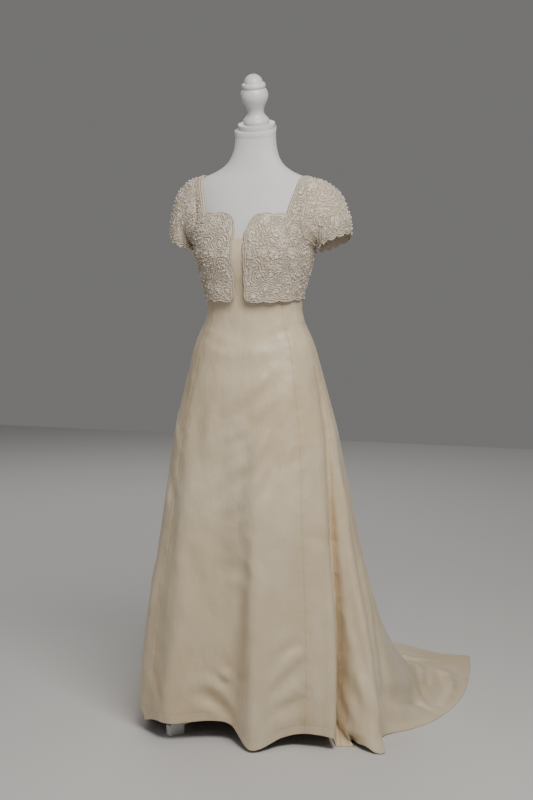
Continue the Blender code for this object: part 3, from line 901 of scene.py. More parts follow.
@dataclass
class Cloth:
    """A thin closed shell between two equal grids of points, rows running down."""

    inner: Array
    outer: Array
    pattern: Array
    kept: Array | None = None
    ring: bool = False
    numbers: dict[str, Array] = field(default_factory=dict)
    lining: dict[str, float] = field(default_factory=dict)

    def faces(self) -> Array:
        """Works out the shell's four-sided faces.

        Returns:
            Numbers of the points of each face: the outer side's, the inner side's and the rim's.
        """
        rows, columns = self.inner.shape[:2]
        cells = columns if self.ring else columns - 1
        kept = np.ones((rows - 1, cells), bool) if self.kept is None else self.kept
        number = np.arange(rows * columns).reshape(rows, columns)
        ring = np.concatenate([number, number[:, :1]], axis=1)[:, : cells + 1]
        a = ring[:-1, :-1][kept]
        b = ring[1:, :-1][kept]
        c = ring[1:, 1:][kept]
        d = ring[:-1, 1:][kept]
        back = rows * columns
        front = np.stack([a, b, c, d], axis=1)
        behind = np.stack([a, d, c, b], axis=1) + back
        edges = np.concatenate([front[:, [i, (i + 1) % 4]] for i in range(4)])
        key = edges[:, 0] * back + edges[:, 1]
        open_edge = edges[~np.isin(key, edges[:, 1] * back + edges[:, 0])]
        start, end = open_edge.T
        rim = np.stack([end, start, start + back, end + back], axis=1)
        return np.concatenate([front, behind, rim])

    def mirrored(self) -> Cloth:
        """Turns the order of the columns round, for a cloth that was mirrored.

        Returns:
            The same cloth, whose faces look out again.
        """
        kept = None if self.kept is None else self.kept[:, ::-1]
        numbers = {word: grid[:, ::-1] for word, grid in self.numbers.items()}
        grids = [grid[:, ::-1] for grid in (self.inner, self.outer, self.pattern)]
        return Cloth(*grids, kept, self.ring, numbers, self.lining)

    def build(self, name: str, material: bpy.types.Material, origin: Array) -> bpy.types.Object:
        """Makes the mesh object.

        Args:
            name: The piece's name.
            material: Its finish.
            origin: Where the form's axis meets the floor.

        Returns:
            The piece, linked to the scene.
        """
        points = np.concatenate([self.outer.reshape(-1, 3), self.inner.reshape(-1, 3)]) + origin
        faces = self.faces()
        used, faces = np.unique(faces, return_inverse=True)
        faces = faces.reshape(-1, 4)
        mesh = bpy.data.meshes.new(name)
        mesh.vertices.add(len(used))
        mesh.vertices.foreach_set("co", points[used].astype(np.float32).ravel())
        mesh.loops.add(faces.size)
        mesh.loops.foreach_set("vertex_index", faces.astype(np.int32).ravel())
        mesh.polygons.add(len(faces))
        mesh.polygons.foreach_set("loop_start", np.arange(0, faces.size, 4, dtype=np.int32))
        mesh.update(calc_edges=True)
        flat = np.concatenate([self.pattern.reshape(-1, 2)] * 2)[used]
        layer = mesh.uv_layers.new(name="cut")
        layer.uv.foreach_set("vector", flat[faces.ravel()].astype(np.float32).ravel())
        for word, numbers in self.numbers.items():
            store = mesh.attributes.new(word, "FLOAT", "POINT")
            inside = 0 * numbers + self.lining[word] if word in self.lining else numbers
            both = np.concatenate([numbers.ravel(), inside.ravel()])[used]
            store.data.foreach_set("value", both.astype(np.float32))
        mesh.shade_smooth()
        mesh.validate()
        return link(bpy.data.objects.new(name, mesh), material)


def link(obj: bpy.types.Object, material: bpy.types.Material) -> bpy.types.Object:
    """Gives an object its finish and links it to the scene.

    Args:
        obj: The object.
        material: Its finish.

    Returns:
        The object.
    """
    obj.data.materials.clear()
    obj.data.materials.append(material)
    if obj.name not in bpy.context.scene.collection.all_objects:
        bpy.context.scene.collection.objects.link(obj)
    return obj


def on_body(obj: bpy.types.Object, slot: str, *nodes: str) -> bpy.types.Object:
    """Makes a piece ride on the body and reports it.

    Args:
        obj: The piece.
        slot: Not used.
        nodes: The nodes that it stands for.

    Returns:
        The piece.
    """
    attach(obj, BODY)
    if nodes:
        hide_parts(*nodes)
    LOG.info("%s: %d faces", obj.name, len(obj.data.polygons))
    return obj


def declare_sheet(obj: bpy.types.Object, cloth: Cloth, rests_on: list[str]) -> None:
    """Logs the size that a sheet of cloth was cut to.

    Args:
        obj: The piece.
        cloth: Its grids of points.
        rests_on: Not used.
    """
    middle = (cloth.inner + cloth.outer) / 2
    if cloth.ring:
        middle = np.concatenate([middle, middle[:, :1]], axis=1)
    across = middle[:-1, 1:] - middle[1:, :-1]
    down = middle[1:, 1:] - middle[:-1, :-1]
    area = np.linalg.norm(np.cross(across, down), axis=-1) / 2
    total = float(area.sum() if cloth.kept is None else area[cloth.kept].sum())
    width = float(run_length(middle, 1)[:, -1].max())
    length = float(run_length(middle, 0)[-1].max())
    width = max(width, total / length)
    LOG.info("%s: cut %.3f by %.3f m, %.3f square metres", obj.name, width, length, total)


@dataclass
class Maker:
    """What each builder is given: the materials, and where the form's axis meets the floor."""

    finishes: Finishes
    origin: Array


class Crease(NamedTuple):
    """A soft trough, or a ridge where its depth is below 0.

    Its places are an angle round the dress and a place along the gown, 0 to 1 down the bodice and
    1 to 2 down the skirt.
    """

    start: tuple[float, float]
    middle: tuple[float, float]
    end: tuple[float, float]
    width: float
    depth: float


# The creases: the front, then the near fold and the train, then the sides and back.
CREASES = (
    Crease((-42, 0.985), (0, 0.998), (42, 0.985), 0.024, -0.0030),
    Crease((-7, 1.195), (8, 1.130), (27, 1.075), 0.017, 0.0056),
    Crease((3, 1.120), (16, 1.070), (31, 1.030), 0.014, -0.0036),
    Crease((1, 1.240), (14, 1.175), (28, 1.125), 0.015, 0.0046),
    Crease((-9, 1.235), (-1, 1.225), (8, 1.195), 0.011, -0.0034),
    Crease((-14, 1.420), (0, 1.355), (12, 1.290), 0.017, 0.0056),
    Crease((-4, 1.335), (12, 1.270), (22, 1.195), 0.014, -0.0038),
    Crease((10, 1.400), (20, 1.330), (30, 1.250), 0.015, 0.0034),
    Crease((-34, 1.130), (-27, 1.230), (-25, 1.340), 0.018, 0.0034),
    Crease((-4, 1.460), (1, 1.430), (8, 1.405), 0.012, 0.0026),
    Crease((-9, 1.605), (2, 1.560), (15, 1.575), 0.018, 0.0034),
    Crease((-1, 1.90), (5, 1.865), (11, 1.83), 0.012, 0.0034),
    Crease((-19, 1.925), (-7, 1.945), (3, 1.985), 0.014, 0.0084),
    Crease((-16, 1.885), (-8, 1.895), (2, 1.93), 0.012, -0.0050),
    Crease((-6, 1.862), (-2, 1.868), (2, 1.885), 0.012, -0.0066),
    Crease((3, 1.560), (6, 1.720), (5, 1.940), 0.034, 0.0080),
    Crease((22, 1.890), (33, 1.84), (52, 1.805), 0.018, 0.0066),
    Crease((24, 1.845), (35, 1.80), (48, 1.775), 0.014, -0.0036),
    Crease((21, 1.930), (31, 1.925), (50, 1.910), 0.017, 0.0060),
    Crease((9, 1.47), (5, 1.66), (4, 1.90), 0.022, 0.0050),
    Crease((22, 1.80), (34, 1.755), (45, 1.765), 0.015, 0.0026),
    Crease((52, 1.46), (68, 1.51), (83, 1.50), 0.016, 0.0034),
    Crease((34, 1.31), (46, 1.25), (60, 1.275), 0.015, 0.0026),
    Crease((40, 0.710), (58, 0.735), (78, 0.75), 0.008, 0.0018),
    Crease((28, 0.84), (42, 0.825), (56, 0.80), 0.009, 0.0016),
    Crease((-34, 0.92), (-18, 0.965), (-1, 0.99), 0.010, 0.0020),
    Crease((-58, 0.80), (-44, 0.83), (-30, 0.85), 0.008, -0.0015),
    Crease((90, 1.61), (92, 1.75), (94, 1.90), 0.011, 0.0046),
    Crease((103, 1.47), (101, 1.63), (100, 1.85), 0.014, -0.0060),
    Crease((97, 1.30), (99, 1.42), (99, 1.56), 0.012, 0.0044),
    Crease((88, 1.24), (93, 1.33), (96, 1.43), 0.010, -0.0030),
    Crease((163, 1.935), (139, 1.735), (119, 1.935), 0.008, -0.0062),
    Crease((147, 1.905), (139, 1.960), (119, 1.950), 0.014, -0.0095),
    Crease((120, 1.955), (116, 1.835), (135, 1.800), 0.013, -0.0085),
    Crease((144, 1.925), (140, 1.96), (137, 1.995), 0.010, -0.0036),
    Crease((99, 1.865), (111, 1.755), (134, 1.815), 0.022, 0.0080),
    Crease((96, 1.905), (106, 1.86), (118, 1.905), 0.018, -0.0050),
    Crease((89, 1.77), (92, 1.83), (96, 1.90), 0.016, -0.0055),
    Crease((85, 1.87), (87, 1.91), (90, 1.95), 0.014, 0.0050),
    Crease((152, 1.72), (150, 1.80), (156, 1.88), 0.020, -0.0060),
    Crease((-27, 1.865), (-30, 1.92), (-32, 1.985), 0.014, 0.0036),
    Crease((-48, 1.86), (-43, 1.91), (-38, 1.955), 0.013, 0.0032),
    Crease((-30, 1.50), (-24, 1.56), (-22, 1.64), 0.016, 0.0024),
    Crease((-66, 1.30), (-55, 1.355), (-47, 1.42), 0.014, 0.0030),
    Crease((-76, 1.17), (-66, 1.20), (-54, 1.25), 0.010, -0.0020),
    Crease((-80, 1.55), (-70, 1.62), (-62, 1.71), 0.014, 0.0038),
    Crease((-92, 1.40), (-86, 1.50), (-84, 1.62), 0.013, -0.0036),
    Crease((-74, 1.84), (-66, 1.87), (-58, 1.88), 0.013, 0.0034),
    Crease((-98, 1.72), (-94, 1.80), (-95, 1.90), 0.014, 0.0046),
    Crease((-112, 1.35), (-104, 1.44), (-101, 1.56), 0.013, 0.0040),
    Crease((-118, 1.66), (-124, 1.76), (-122, 1.87), 0.017, 0.0060),
    Crease((-108, 1.86), (-114, 1.90), (-121, 1.93), 0.013, 0.0044),
    Crease((-136, 1.80), (-147, 1.85), (-152, 1.92), 0.016, 0.0060),
    Crease((-131, 1.90), (-139, 1.93), (-147, 1.955), 0.013, -0.0046),
    Crease((-128, 1.22), (-133, 1.35), (-131, 1.50), 0.013, 0.0036),
    Crease((-152, 1.16), (-147, 1.24), (-139, 1.31), 0.012, 0.0026),
    Crease((-168, 1.10), (-160, 1.15), (-150, 1.18), 0.010, -0.0020),
    Crease((-172, 1.42), (-166, 1.53), (-168, 1.66), 0.015, 0.0046),
    Crease((-176, 1.74), (-168, 1.80), (-160, 1.83), 0.017, 0.0060),
    Crease((-172, 1.90), (-164, 1.92), (-157, 1.95), 0.014, 0.0046),
    Crease((176, 1.30), (170, 1.40), (171, 1.53), 0.014, 0.0040),
    Crease((174, 1.66), (166, 1.74), (163, 1.84), 0.016, 0.0056),
    Crease((171, 1.90), (163, 1.91), (154, 1.94), 0.015, -0.0050),
    Crease((166, 1.12), (157, 1.17), (149, 1.19), 0.010, 0.0024),
    Crease((150, 1.34), (146, 1.46), (148, 1.60), 0.014, 0.0042),
    Crease((132, 1.26), (126, 1.38), (125, 1.52), 0.013, 0.0038),
    Crease((116, 1.20), (112, 1.31), (112, 1.44), 0.012, -0.0034),
    Crease((140, 0.72), (154, 0.745), (170, 0.755), 0.008, 0.0016),
    Crease((-140, 0.79), (-152, 0.81), (-168, 0.80), 0.008, 0.0015),
    Crease((-100, 0.74), (-86, 0.76), (-70, 0.75), 0.008, 0.0016),
)


class Turn(NamedTuple):
    """A place where the hem turns out or in, or lifts, close to the floor only."""

    angle: float
    spread: float
    start: float
    x: float
    y: float
    z: float


# The hem's turns: one on the wearer's right, then those of the front flap, the near fold and the train.
TURNS = (
    Turn(-70.0, 17.0, 0.948, 0.020, 0.008, -0.003),
    Turn(77.6, 2.6, 0.955, 0.000, -0.003, -0.012),
    Turn(83.2, 1.3, 0.940, 0.002, 0.042, 0.000),
    Turn(85.4, 1.0, 0.945, 0.012, -0.052, -0.008),
    Turn(87.1, 1.0, 0.950, 0.034, -0.016, -0.006),
    Turn(89.4, 1.2, 0.945, -0.008, 0.040, 0.008),
    Turn(91.4, 1.2, 0.940, 0.000, 0.006, 0.012),
    Turn(94.6, 1.1, 0.925, 0.008, -0.002, 0.000),
    Turn(150.5, 1.9, 0.930, 0.008, 0.014, 0.000),
    Turn(-146.0, 2.0, 0.940, -0.010, 0.012, 0.000),
)


class Panel(NamedTuple):
    """One panel of the gown between its seams, in degrees, and the size of its mesh's cells."""

    name: str
    first: float
    last: float
    cell: float


# The seven panels, once round.
PANELS = (
    Panel("centre_front", -48.0, 48.0, 0.0068),
    Panel("side_front_left", 48.0, 86.0, 0.0075),
    Panel("side_back_left", 86.0, 138.0, 0.0080),
    Panel("centre_back_left", 138.0, 180.0, 0.0098),
    Panel("centre_back_right", -180.0, -138.0, 0.0098),
    Panel("side_back_right", -138.0, -86.0, 0.0092),
    Panel("side_front_right", -86.0, -48.0, 0.0082),
)


@dataclass
class Gown(Maker):
    """The princess-cut satin gown with its train."""

    thickness: float = 0.0009
    seam_gap: float = 0.00008
    off_form: float = 0.0022
    top_front: float = 1.232
    top_dip: float = 0.038
    skirt_start: float = 0.950
    waist_free: float = 1.045
    train_begins: float = 78.0
    train_full: float = 126.0
    fold_growth: float = 1.35
    seam_width: float = 0.0024
    seam_depth: float = 0.0007
    seam_columns: tuple[float, ...] = (0.0014, 0.0030, 0.0050)
    pucker_reach: float = 0.014
    pucker_pitch: float = 0.034
    pucker_depth: float = 0.0004
    lace_covers: tuple[float, float] = (0.16, 0.26)
    deepest_covered: float = 0.0015
    deepest: float = 0.0115
    slope_step: float = 0.012
    slope_turn: float = 0.8
    sway_depth: float = 0.0011
    crease_steps: int = 28
    crease_reach: float = 4.0
    bank_height: float = 0.42
    bank_off: float = 1.9
    bank_width: float = 0.9
    lying_calm: float = 0.88
    across_steps: int = 400
    down_steps: int = 600
    hem_depth: float = 0.020
    stitch_width: float = 0.0018
    stitch_depth: float = 0.0005
    inner_floor: float = 0.0001
    outer_floor: float = 0.0002
    hem_rows: tuple[float, ...] = (0.0015, 0.0040, 0.0165, 0.0185, 0.0200, 0.0215, 0.0240)

    def base(self, angle: Array, z: Array) -> Pair:
        """Plan position of the skirt as it would hang without train or folds."""
        return SHAPE.oval(angle, *reaches(SKIRT, z))

    def skirt(self, angle: Array, along: Array) -> Array:
        """Point of the skirt's inner face.

        Args:
            angle: Degrees from the centre front.
            along: 0 at the skirt's start, 1 at its hem.

        Returns:
            The point.
        """
        train = step_up(self.train_begins, self.train_full, np.abs(wrap(angle)))
        angles = column(HEM, "angle")
        x_hem, y_hem, z_hem = [closed(angles, column(HEM, n), angle) for n in ("x", "y", "z")]
        stations = column(TRAIN, "along")
        train_z = self.skirt_start * smooth(stations, column(TRAIN, "drop"), along)
        front_z = self.skirt_start + (z_hem - self.skirt_start) * along
        z = np.maximum(front_z + (train_z - front_z) * train, 0.0)
        reach = smooth(stations, column(TRAIN, "reach"), along)
        grown = along**self.fold_growth
        grown = grown + (reach - grown) * train
        x, y = self.base(angle, z)
        x_end, y_end = self.base(angle, 0.0 * z)
        x = x + (x_hem - x_end) * grown
        y = y + (y_hem - y_end) * grown
        for turn in TURNS:
            near = np.exp(-((wrap(angle - turn.angle) / turn.spread) ** 2))
            share = near * step_up(turn.start, 1.0, along) ** 1.3
            x = x + turn.x * share
            y = y + turn.y * share
            z = np.maximum(z + turn.z * share, 0.0)
        return np.stack([x, y, z], axis=-1)

    def top(self, angle: Array) -> Array:
        """Height of the gown's top edge."""
        return self.top_front - self.top_dip * (1 - np.cos(np.radians(angle)))

    def bodice(self, angle: Array, along: Array) -> Array:
        """Point of the inner face above the skirt.

        Args:
            angle: Degrees from the centre front.
            along: 0 at the top edge, 1 at the skirt's start.

        Returns:
            The point.
        """
        z = self.top(angle) + (self.skirt_start - self.top(angle)) * along
        held = SHAPE.point(angle, z) + SHAPE.away(angle, z, 1.0, 0.004) * self.off_form
        x, y = self.base(angle, z)
        flared = np.stack([x, y, z + 0 * x], axis=-1)
        free = 1 - step_up(self.skirt_start, self.waist_free, z)[..., None]
        return held + (flared - held) * free

    def point(self, angle: Array, along: Array) -> Array:
        """Point of the inner face.

        Args:
            angle: Degrees from the centre front.
            along: 0 to 1 down the bodice, 1 to 2 down the skirt.

        Returns:
            The point.
        """
        angle, along = np.broadcast_arrays(np.asarray(angle, float), np.asarray(along, float))
        upper = self.bodice(angle, np.clip(along, 0.0, 1.0))
        lower = self.skirt(angle, np.clip(along - 1.0, 0.0, 1.0))
        return np.where((along > 1.0)[..., None], lower, upper)

    def away(self, angle: Array, along: Array) -> Array:
        """Way out of the gown's surface.

        Args:
            angle: Degrees from the centre front.
            along: 0 to 1 down the bodice, 1 to 2 down the skirt.

        Returns:
            Unit vectors, upright where the cloth lies on the floor.
        """
        below = self.point(angle, np.minimum(along + self.slope_step, 2.0))
        down = below - self.point(angle, np.maximum(along - self.slope_step, 0.0))
        across = self.point(angle + self.slope_turn, along) - self.point(angle - self.slope_turn, along)
        normals = unit(np.cross(down, across))
        lying = (self.point(angle, along)[..., 2] < ON_FLOOR) & (normals[..., 2] > 0.2)
        normals[lying] = (0.0, 0.0, 1.0)
        return normals

    def creased(self, points: Array) -> Array:
        """How far in the creases take each point of a panel.

        Args:
            points: The panel's grid of points.

        Returns:
            Depth in metres, below 0 on a ridge.
        """
        depth = np.zeros(points.shape[:2])
        for crease in CREASES:
            t = np.linspace(0.0, 1.0, self.crease_steps)
            places = np.array([crease.start, crease.middle, crease.end], float)
            weights = np.stack([(1 - t) ** 2, 2 * t * (1 - t), t * t], axis=1)
            angle, along = (weights @ places).T
            path = self.point(angle, along)
            reach = self.crease_reach * crease.width
            near = ((points > path.min(0) - reach) & (points < path.max(0) + reach)).all(-1)
            if not near.any():
                continue
            gaps = np.linalg.norm(points[near][:, None, :] - path[None], axis=-1)
            closest = gaps.argmin(1)
            off = gaps[np.arange(len(gaps)), closest] / crease.width
            taper = np.sin(np.pi * np.clip(0.04 + 0.92 * t[closest], 0, 1)) ** 0.8
            bank = self.bank_height * np.exp(-(((off - self.bank_off) / self.bank_width) ** 2))
            depth[near] += crease.depth * taper * (np.exp(-(off**2)) - bank)
        return depth

    def grid(self, panel: Panel) -> Pair:
        """Lays out a panel's mesh, in even cells with closer ones at seams and hem.

        Args:
            panel: Which one.

        Returns:
            The angle and the place along at each of its points.
        """
        fine = np.linspace(panel.first, panel.last, self.across_steps)
        levels = ((2.0, 0.55), (1.6, 0.3), (1.0, 0.15))
        weight = sum(self.width(fine, along) * share for along, share in levels)
        hem = self.width(fine, 2.0)[-1]
        close = np.array(self.seam_columns) / hem
        even = np.linspace(0.0, 1.0, max(12, round(hem / panel.cell)) + 1)
        shares = np.unique(np.concatenate([even, close, 1 - close]))
        angles = np.interp(shares * weight[-1], weight, fine)
        down = np.linspace(0.0, 2.0, self.down_steps)
        middle = np.full(self.down_steps, (panel.first + panel.last) / 2)
        length = run_length(self.point(middle, down)[None], 1)[0]
        even = np.linspace(0.0, length[-1], round(length[-1] / panel.cell) + 1)
        places = np.unique(np.concatenate([even, length[-1] - np.array(self.hem_rows)]))
        return np.meshgrid(angles, np.interp(places, length, down))

    def width(self, angles: Array, along: float) -> Array:
        """Length gone round the gown at one place along."""
        return run_length(self.point(angles, np.full(len(angles), along))[None], 1)[0]

    def panel(self, panel: Panel) -> bpy.types.Object:
        """Builds one panel.

        Args:
            panel: Which one.

        Returns:
            The panel's piece.
        """
        angle, along = self.grid(panel)
        flat = self.point(angle, along)
        away = self.away(angle, along)
        u = run_length(flat, 1)
        v = run_length(flat, 0)
        edge = np.minimum(u, u[:, -1:] - u)
        near_seam = np.exp(-((edge / self.pucker_reach) ** 2)) * step_up(0.05, 0.15, v)
        below_lace = step_up(*self.lace_covers, v)
        pucker = np.sin(v / self.pucker_pitch * math.tau + 1.7 * np.sin(v * 23.0))
        rise = v[-1:] - v
        depth = (self.creased(flat) + self.pucker_depth * (1 + pucker) * near_seam) * below_lace
        depth = depth + self.seam_depth * np.exp(-((edge / self.seam_width) ** 2))
        depth = depth + self.stitch_depth * np.exp(-(((rise - self.hem_depth) / self.stitch_width) ** 2))
        depth = depth + self.sway(angle, along) * below_lace
        most = self.deepest_covered + (self.deepest - self.deepest_covered) * below_lace
        inner = flat - away * np.minimum(depth, most)[..., None]
        inner[..., 2] = np.maximum(inner[..., 2], self.inner_floor)
        outer = inner + away * self.thickness
        outer[..., 2] = np.maximum(outer[..., 2], self.outer_floor)
        for points in (inner, outer):
            self.close_seams(points)
        hanging = 1 - self.lying_calm * step_up(0.2, 0.8, away[..., 2])
        numbers = {"seam": near_seam, "hanging": hanging}
        cloth = Cloth(inner, outer, np.stack([u, -v], axis=-1), numbers=numbers)
        obj = cloth.build(f"satin_{panel.name}", self.finishes.satin, self.origin)
        on_body(obj, "ivory_satin", f"gown_{panel.name}")
        declare_sheet(obj, cloth, ["dress_form"])
        return obj

    def sway(self, angle: Array, along: Array) -> Array:
        """Faint waves of cloth that hangs.

        Args:
            angle: Degrees from the centre front.
            along: Place along the gown.

        Returns:
            Depth in metres.
        """
        free = step_up(1.05, 1.5, along)
        wave = np.sin(np.radians(angle) * 11.0 + 2.1 * np.sin(along * 3.1))
        wave = wave + 0.6 * np.sin(np.radians(angle) * 17.0 - along * 2.7 + 1.1)
        return self.sway_depth * free * wave

    def close_seams(self, points: Array) -> None:
        """Draws a panel's side columns in by half the seam's gap."""
        for edge, inside in ((0, 1), (-1, -2)):
            points[:, edge] += unit(points[:, inside] - points[:, edge]) * self.seam_gap / 2

    def build(self) -> list[bpy.types.Object]:
        """Builds all the panels."""
        return [self.panel(panel) for panel in PANELS]


# The numbers that the lace's inner side has all over.
LINING = {"cord_cosine": 1.0, "cord_sine": 0.0, "fill": 0.0}


class Swirls(NamedTuple):
    """Where the motifs are and how each is drawn."""

    centres: Array
    radii: Array
    petals: Array
    twist: Array
    arms: Array
    lean: Array


@dataclass
class Motifs:
    """Corded swirls and rosettes spread over a flat piece of lace."""

    seed: int
    pitch: float = 0.034
    jitter: float = 0.0055
    radius: float = 0.0165
    cord_pitch: float = 0.0054
    edge_cords: float = 0.0112
    sway: float = 0.0022
    heart: tuple[float, float] = (0.0056, 0.0034)
    row_share: float = 0.86
    petal_depth: float = 0.28
    dome_height: float = 0.20
    fill_height: float = 0.42
    cord_height: float = 0.36
    vein_height: float = 0.14

    def spread(self, low: Array, high: Array) -> Swirls:
        """Places the motifs.

        Args:
            low: Lowest corner of the flat piece.
            high: Highest corner.

        Returns:
            Their places and kinds.
        """
        chance = np.random.default_rng(self.seed)
        places = []
        rows = np.arange(low[1] - self.pitch, high[1] + self.pitch, self.pitch * self.row_share)
        for number, v in enumerate(rows):
            shift = self.pitch * 0.5 * (number % 2)
            for u in np.arange(low[0] - self.pitch + shift, high[0] + self.pitch, self.pitch):
                places.append((u, v))
        count = len(places)
        return Swirls(
            np.array(places) + chance.normal(0.0, self.jitter, (count, 2)),
            self.radius * chance.uniform(0.72, 1.30, count),
            chance.choice([5.0, 6.0, 7.0], count),
            chance.choice([-1.0, 1.0], count) * chance.uniform(0.3, 1.1, count),
            chance.choice([-1.0, 0.0, 0.0, 1.0, 2.0], count),
            chance.uniform(0.0, math.pi, count),
        )

    def fields(self, u: Array, v: Array, edge: Array) -> tuple[Array, dict[str, Array], Array]:
        """Works out the pattern at each point of a flat piece.

        Args:
            u: Distance across.
            v: Distance down.
            edge: Distance in from a scalloped edge.

        Returns:
            Relief from 0 to 1, the numbers that the finish reads, and the motifs' centres.
        """
        flat = np.stack([u, v], axis=-1)
        swirls = self.spread(flat.reshape(-1, 2).min(0), flat.reshape(-1, 2).max(0))
        waves = np.stack([np.sin(v * 170 + 1.3) + np.sin((u + v) * 115 + self.seed),
                          np.sin(u * 150 + 0.6) + np.sin((v - u) * 125 + 2.0)], axis=-1)
        off = (flat + self.sway * waves)[..., None, :] - swirls.centres
        reach = np.linalg.norm(off, axis=-1) / swirls.radii
        order = np.argpartition(reach, 1, axis=-1)[..., :2]
        pair = np.take_along_axis(reach, order, -1)
        nearest = np.where(pair[..., 0] <= pair[..., 1], order[..., 0], order[..., 1])
        first = pair.min(-1)
        second = pair.max(-1)
        own = np.take_along_axis(off, nearest[..., None, None], -2)[..., 0, :]
        turn = np.arctan2(own[..., 1], own[..., 0])
        arms = swirls.arms[nearest]
        rosette = np.where(arms == 0.0, 1.0, 0.25)
        curl = turn + swirls.twist[nearest] * first * 1.6 + nearest
        lobe = np.abs(np.cos(swirls.petals[nearest] * curl / 2)) ** 0.7
        outline = first / (1 - self.petal_depth * rosette * (1 - lobe))
        phase = outline * swirls.radii[nearest] / self.cord_pitch + arms * turn / math.tau
        lean = swirls.lean[nearest]
        long = own[..., 0] * np.cos(lean) + own[..., 1] * np.sin(lean)
        wide = own[..., 1] * np.cos(lean) - own[..., 0] * np.sin(lean)
        heart = 1 - step_up(0.7, 1.15, np.hypot(long / self.heart[0], wide / self.heart[1]))
        band = step_up(0.34, 0.44, outline) * (1 - step_up(0.60, 0.76, outline))
        petal = band * step_up(0.35, 0.75, lobe) * (rosette > 0.5)
        # Next to a scalloped edge the cords run along it.
        border = 1 - step_up(self.edge_cords - 0.0015, self.edge_cords + 0.0005, edge)
        phase = np.where(border > 0.5, edge / self.cord_pitch + 0.45, phase)
        fill = np.maximum(petal * 0.85, heart) * (1 - border)
        ridge = 0.5 + 0.5 * np.cos(math.tau * phase)
        dome = np.sqrt(np.clip(1 - (first * 0.85) ** 2, 0, 1)) * (1 - border)
        vein = (1 - step_up(0.02, 0.10, second - first)) * (1 - border)
        relief = self.dome_height * dome + self.fill_height * fill
        relief = relief + self.cord_height * ridge + self.vein_height * vein
        round_cord = math.tau * phase
        numbers = {"cord_cosine": np.cos(round_cord), "cord_sine": np.sin(round_cord), "fill": fill}
        return np.clip(relief, 0.0, 1.0), numbers, swirls.centres


@dataclass
class Beads(Maker):
    """Small pearls sewn to a piece of lace, joined into one mesh."""

    radius: float = 0.0016
    segments: int = 7
    rings: int = 5
    above: float = 0.7
    petal_ring: float = 0.0125
    near: float = 0.0018

    def pattern(self) -> tuple[Array, list[list[int]]]:
        """Models one bead of radius 1.

        Returns:
            Its points and its faces.
        """
        bpy.ops.object.select_all(action="DESELECT")
        bpy.ops.mesh.primitive_uv_sphere_add(segments=self.segments, ring_count=self.rings, radius=1.0)
        bead = bpy.context.active_object
        points = np.array([v.co for v in bead.data.vertices])
        faces = [list(p.vertices) for p in bead.data.polygons]
        bpy.data.objects.remove(bead)
        return points, faces

    def choose(self, u: Array, v: Array, kept: Array, centres: Array, seed: int) -> Array:
        """Chooses grid points for the beads: each motif's centre and some places round it.

        Args:
            u: Distance across at each grid point.
            v: Distance down.
            kept: Which grid points lie well inside the cloth.
            centres: The motifs' centres.
            seed: Starts the scatter.

        Returns:
            Numbers of the chosen grid points.
        """
        flat = np.stack([u.ravel(), v.ravel()], axis=-1)
        chance = np.random.default_rng(seed)
        wanted = []
        for centre in centres:
            wanted.append(centre)
            spokes = chance.integers(4, 7)
            start = chance.uniform(0, math.tau)
            for number in range(spokes):
                turn = start + math.tau * number / spokes
                wanted.append(centre + self.petal_ring * np.array([math.cos(turn), math.sin(turn)]))
        chosen = set()
        usable = np.flatnonzero(kept.ravel())
        reach = flat[usable]
        for place in wanted:
            gap = ((reach - place) ** 2).sum(-1)
            best = int(gap.argmin())
            if gap[best] < self.near**2:
                chosen.add(int(usable[best]))
        return np.array(sorted(chosen), int)

    def build(self, name: str, places: Array, away: Array) -> bpy.types.Object:
        """Builds the beads of one piece of lace.

        Args:
            name: The piece's name.
            places: Where each bead touches the lace.
            away: The way out of the lace there.

        Returns:
            The beads' piece.
        """
        points, faces = self.pattern()
        sizes = self.radius * (0.85 + 0.3 * np.abs(np.sin(np.arange(len(places)) * 2.4)))
        at = places + away * (sizes * self.above)[:, None]
        all_points = (at[:, None, :] + points[None] * sizes[:, None, None]).reshape(-1, 3) + self.origin
        all_faces = [[i + n * len(points) for i in face] for n in range(len(places)) for face in faces]
        mesh = bpy.data.meshes.new(name)
        mesh.from_pydata(all_points.tolist(), [], all_faces)
        mesh.shade_smooth()
        return on_body(link(bpy.data.objects.new(name, mesh), self.finishes.pearl), "corded_lace")


# Each half of the overbodice: its cut, the wearer's side and the seed of its pattern.
HALVES = (
    (LACE_FRONT, Side.LEFT, 4),
    (LACE_FRONT, Side.RIGHT, 9),
    (LACE_BACK, Side.LEFT, 15),
    (LACE_BACK, Side.RIGHT, 23),
)


class Cells(NamedTuple):
    """How many cells half of the overbodice has across and down its parts."""

    centre: int
    side: int
    strap: int
    arm: int
    low: int


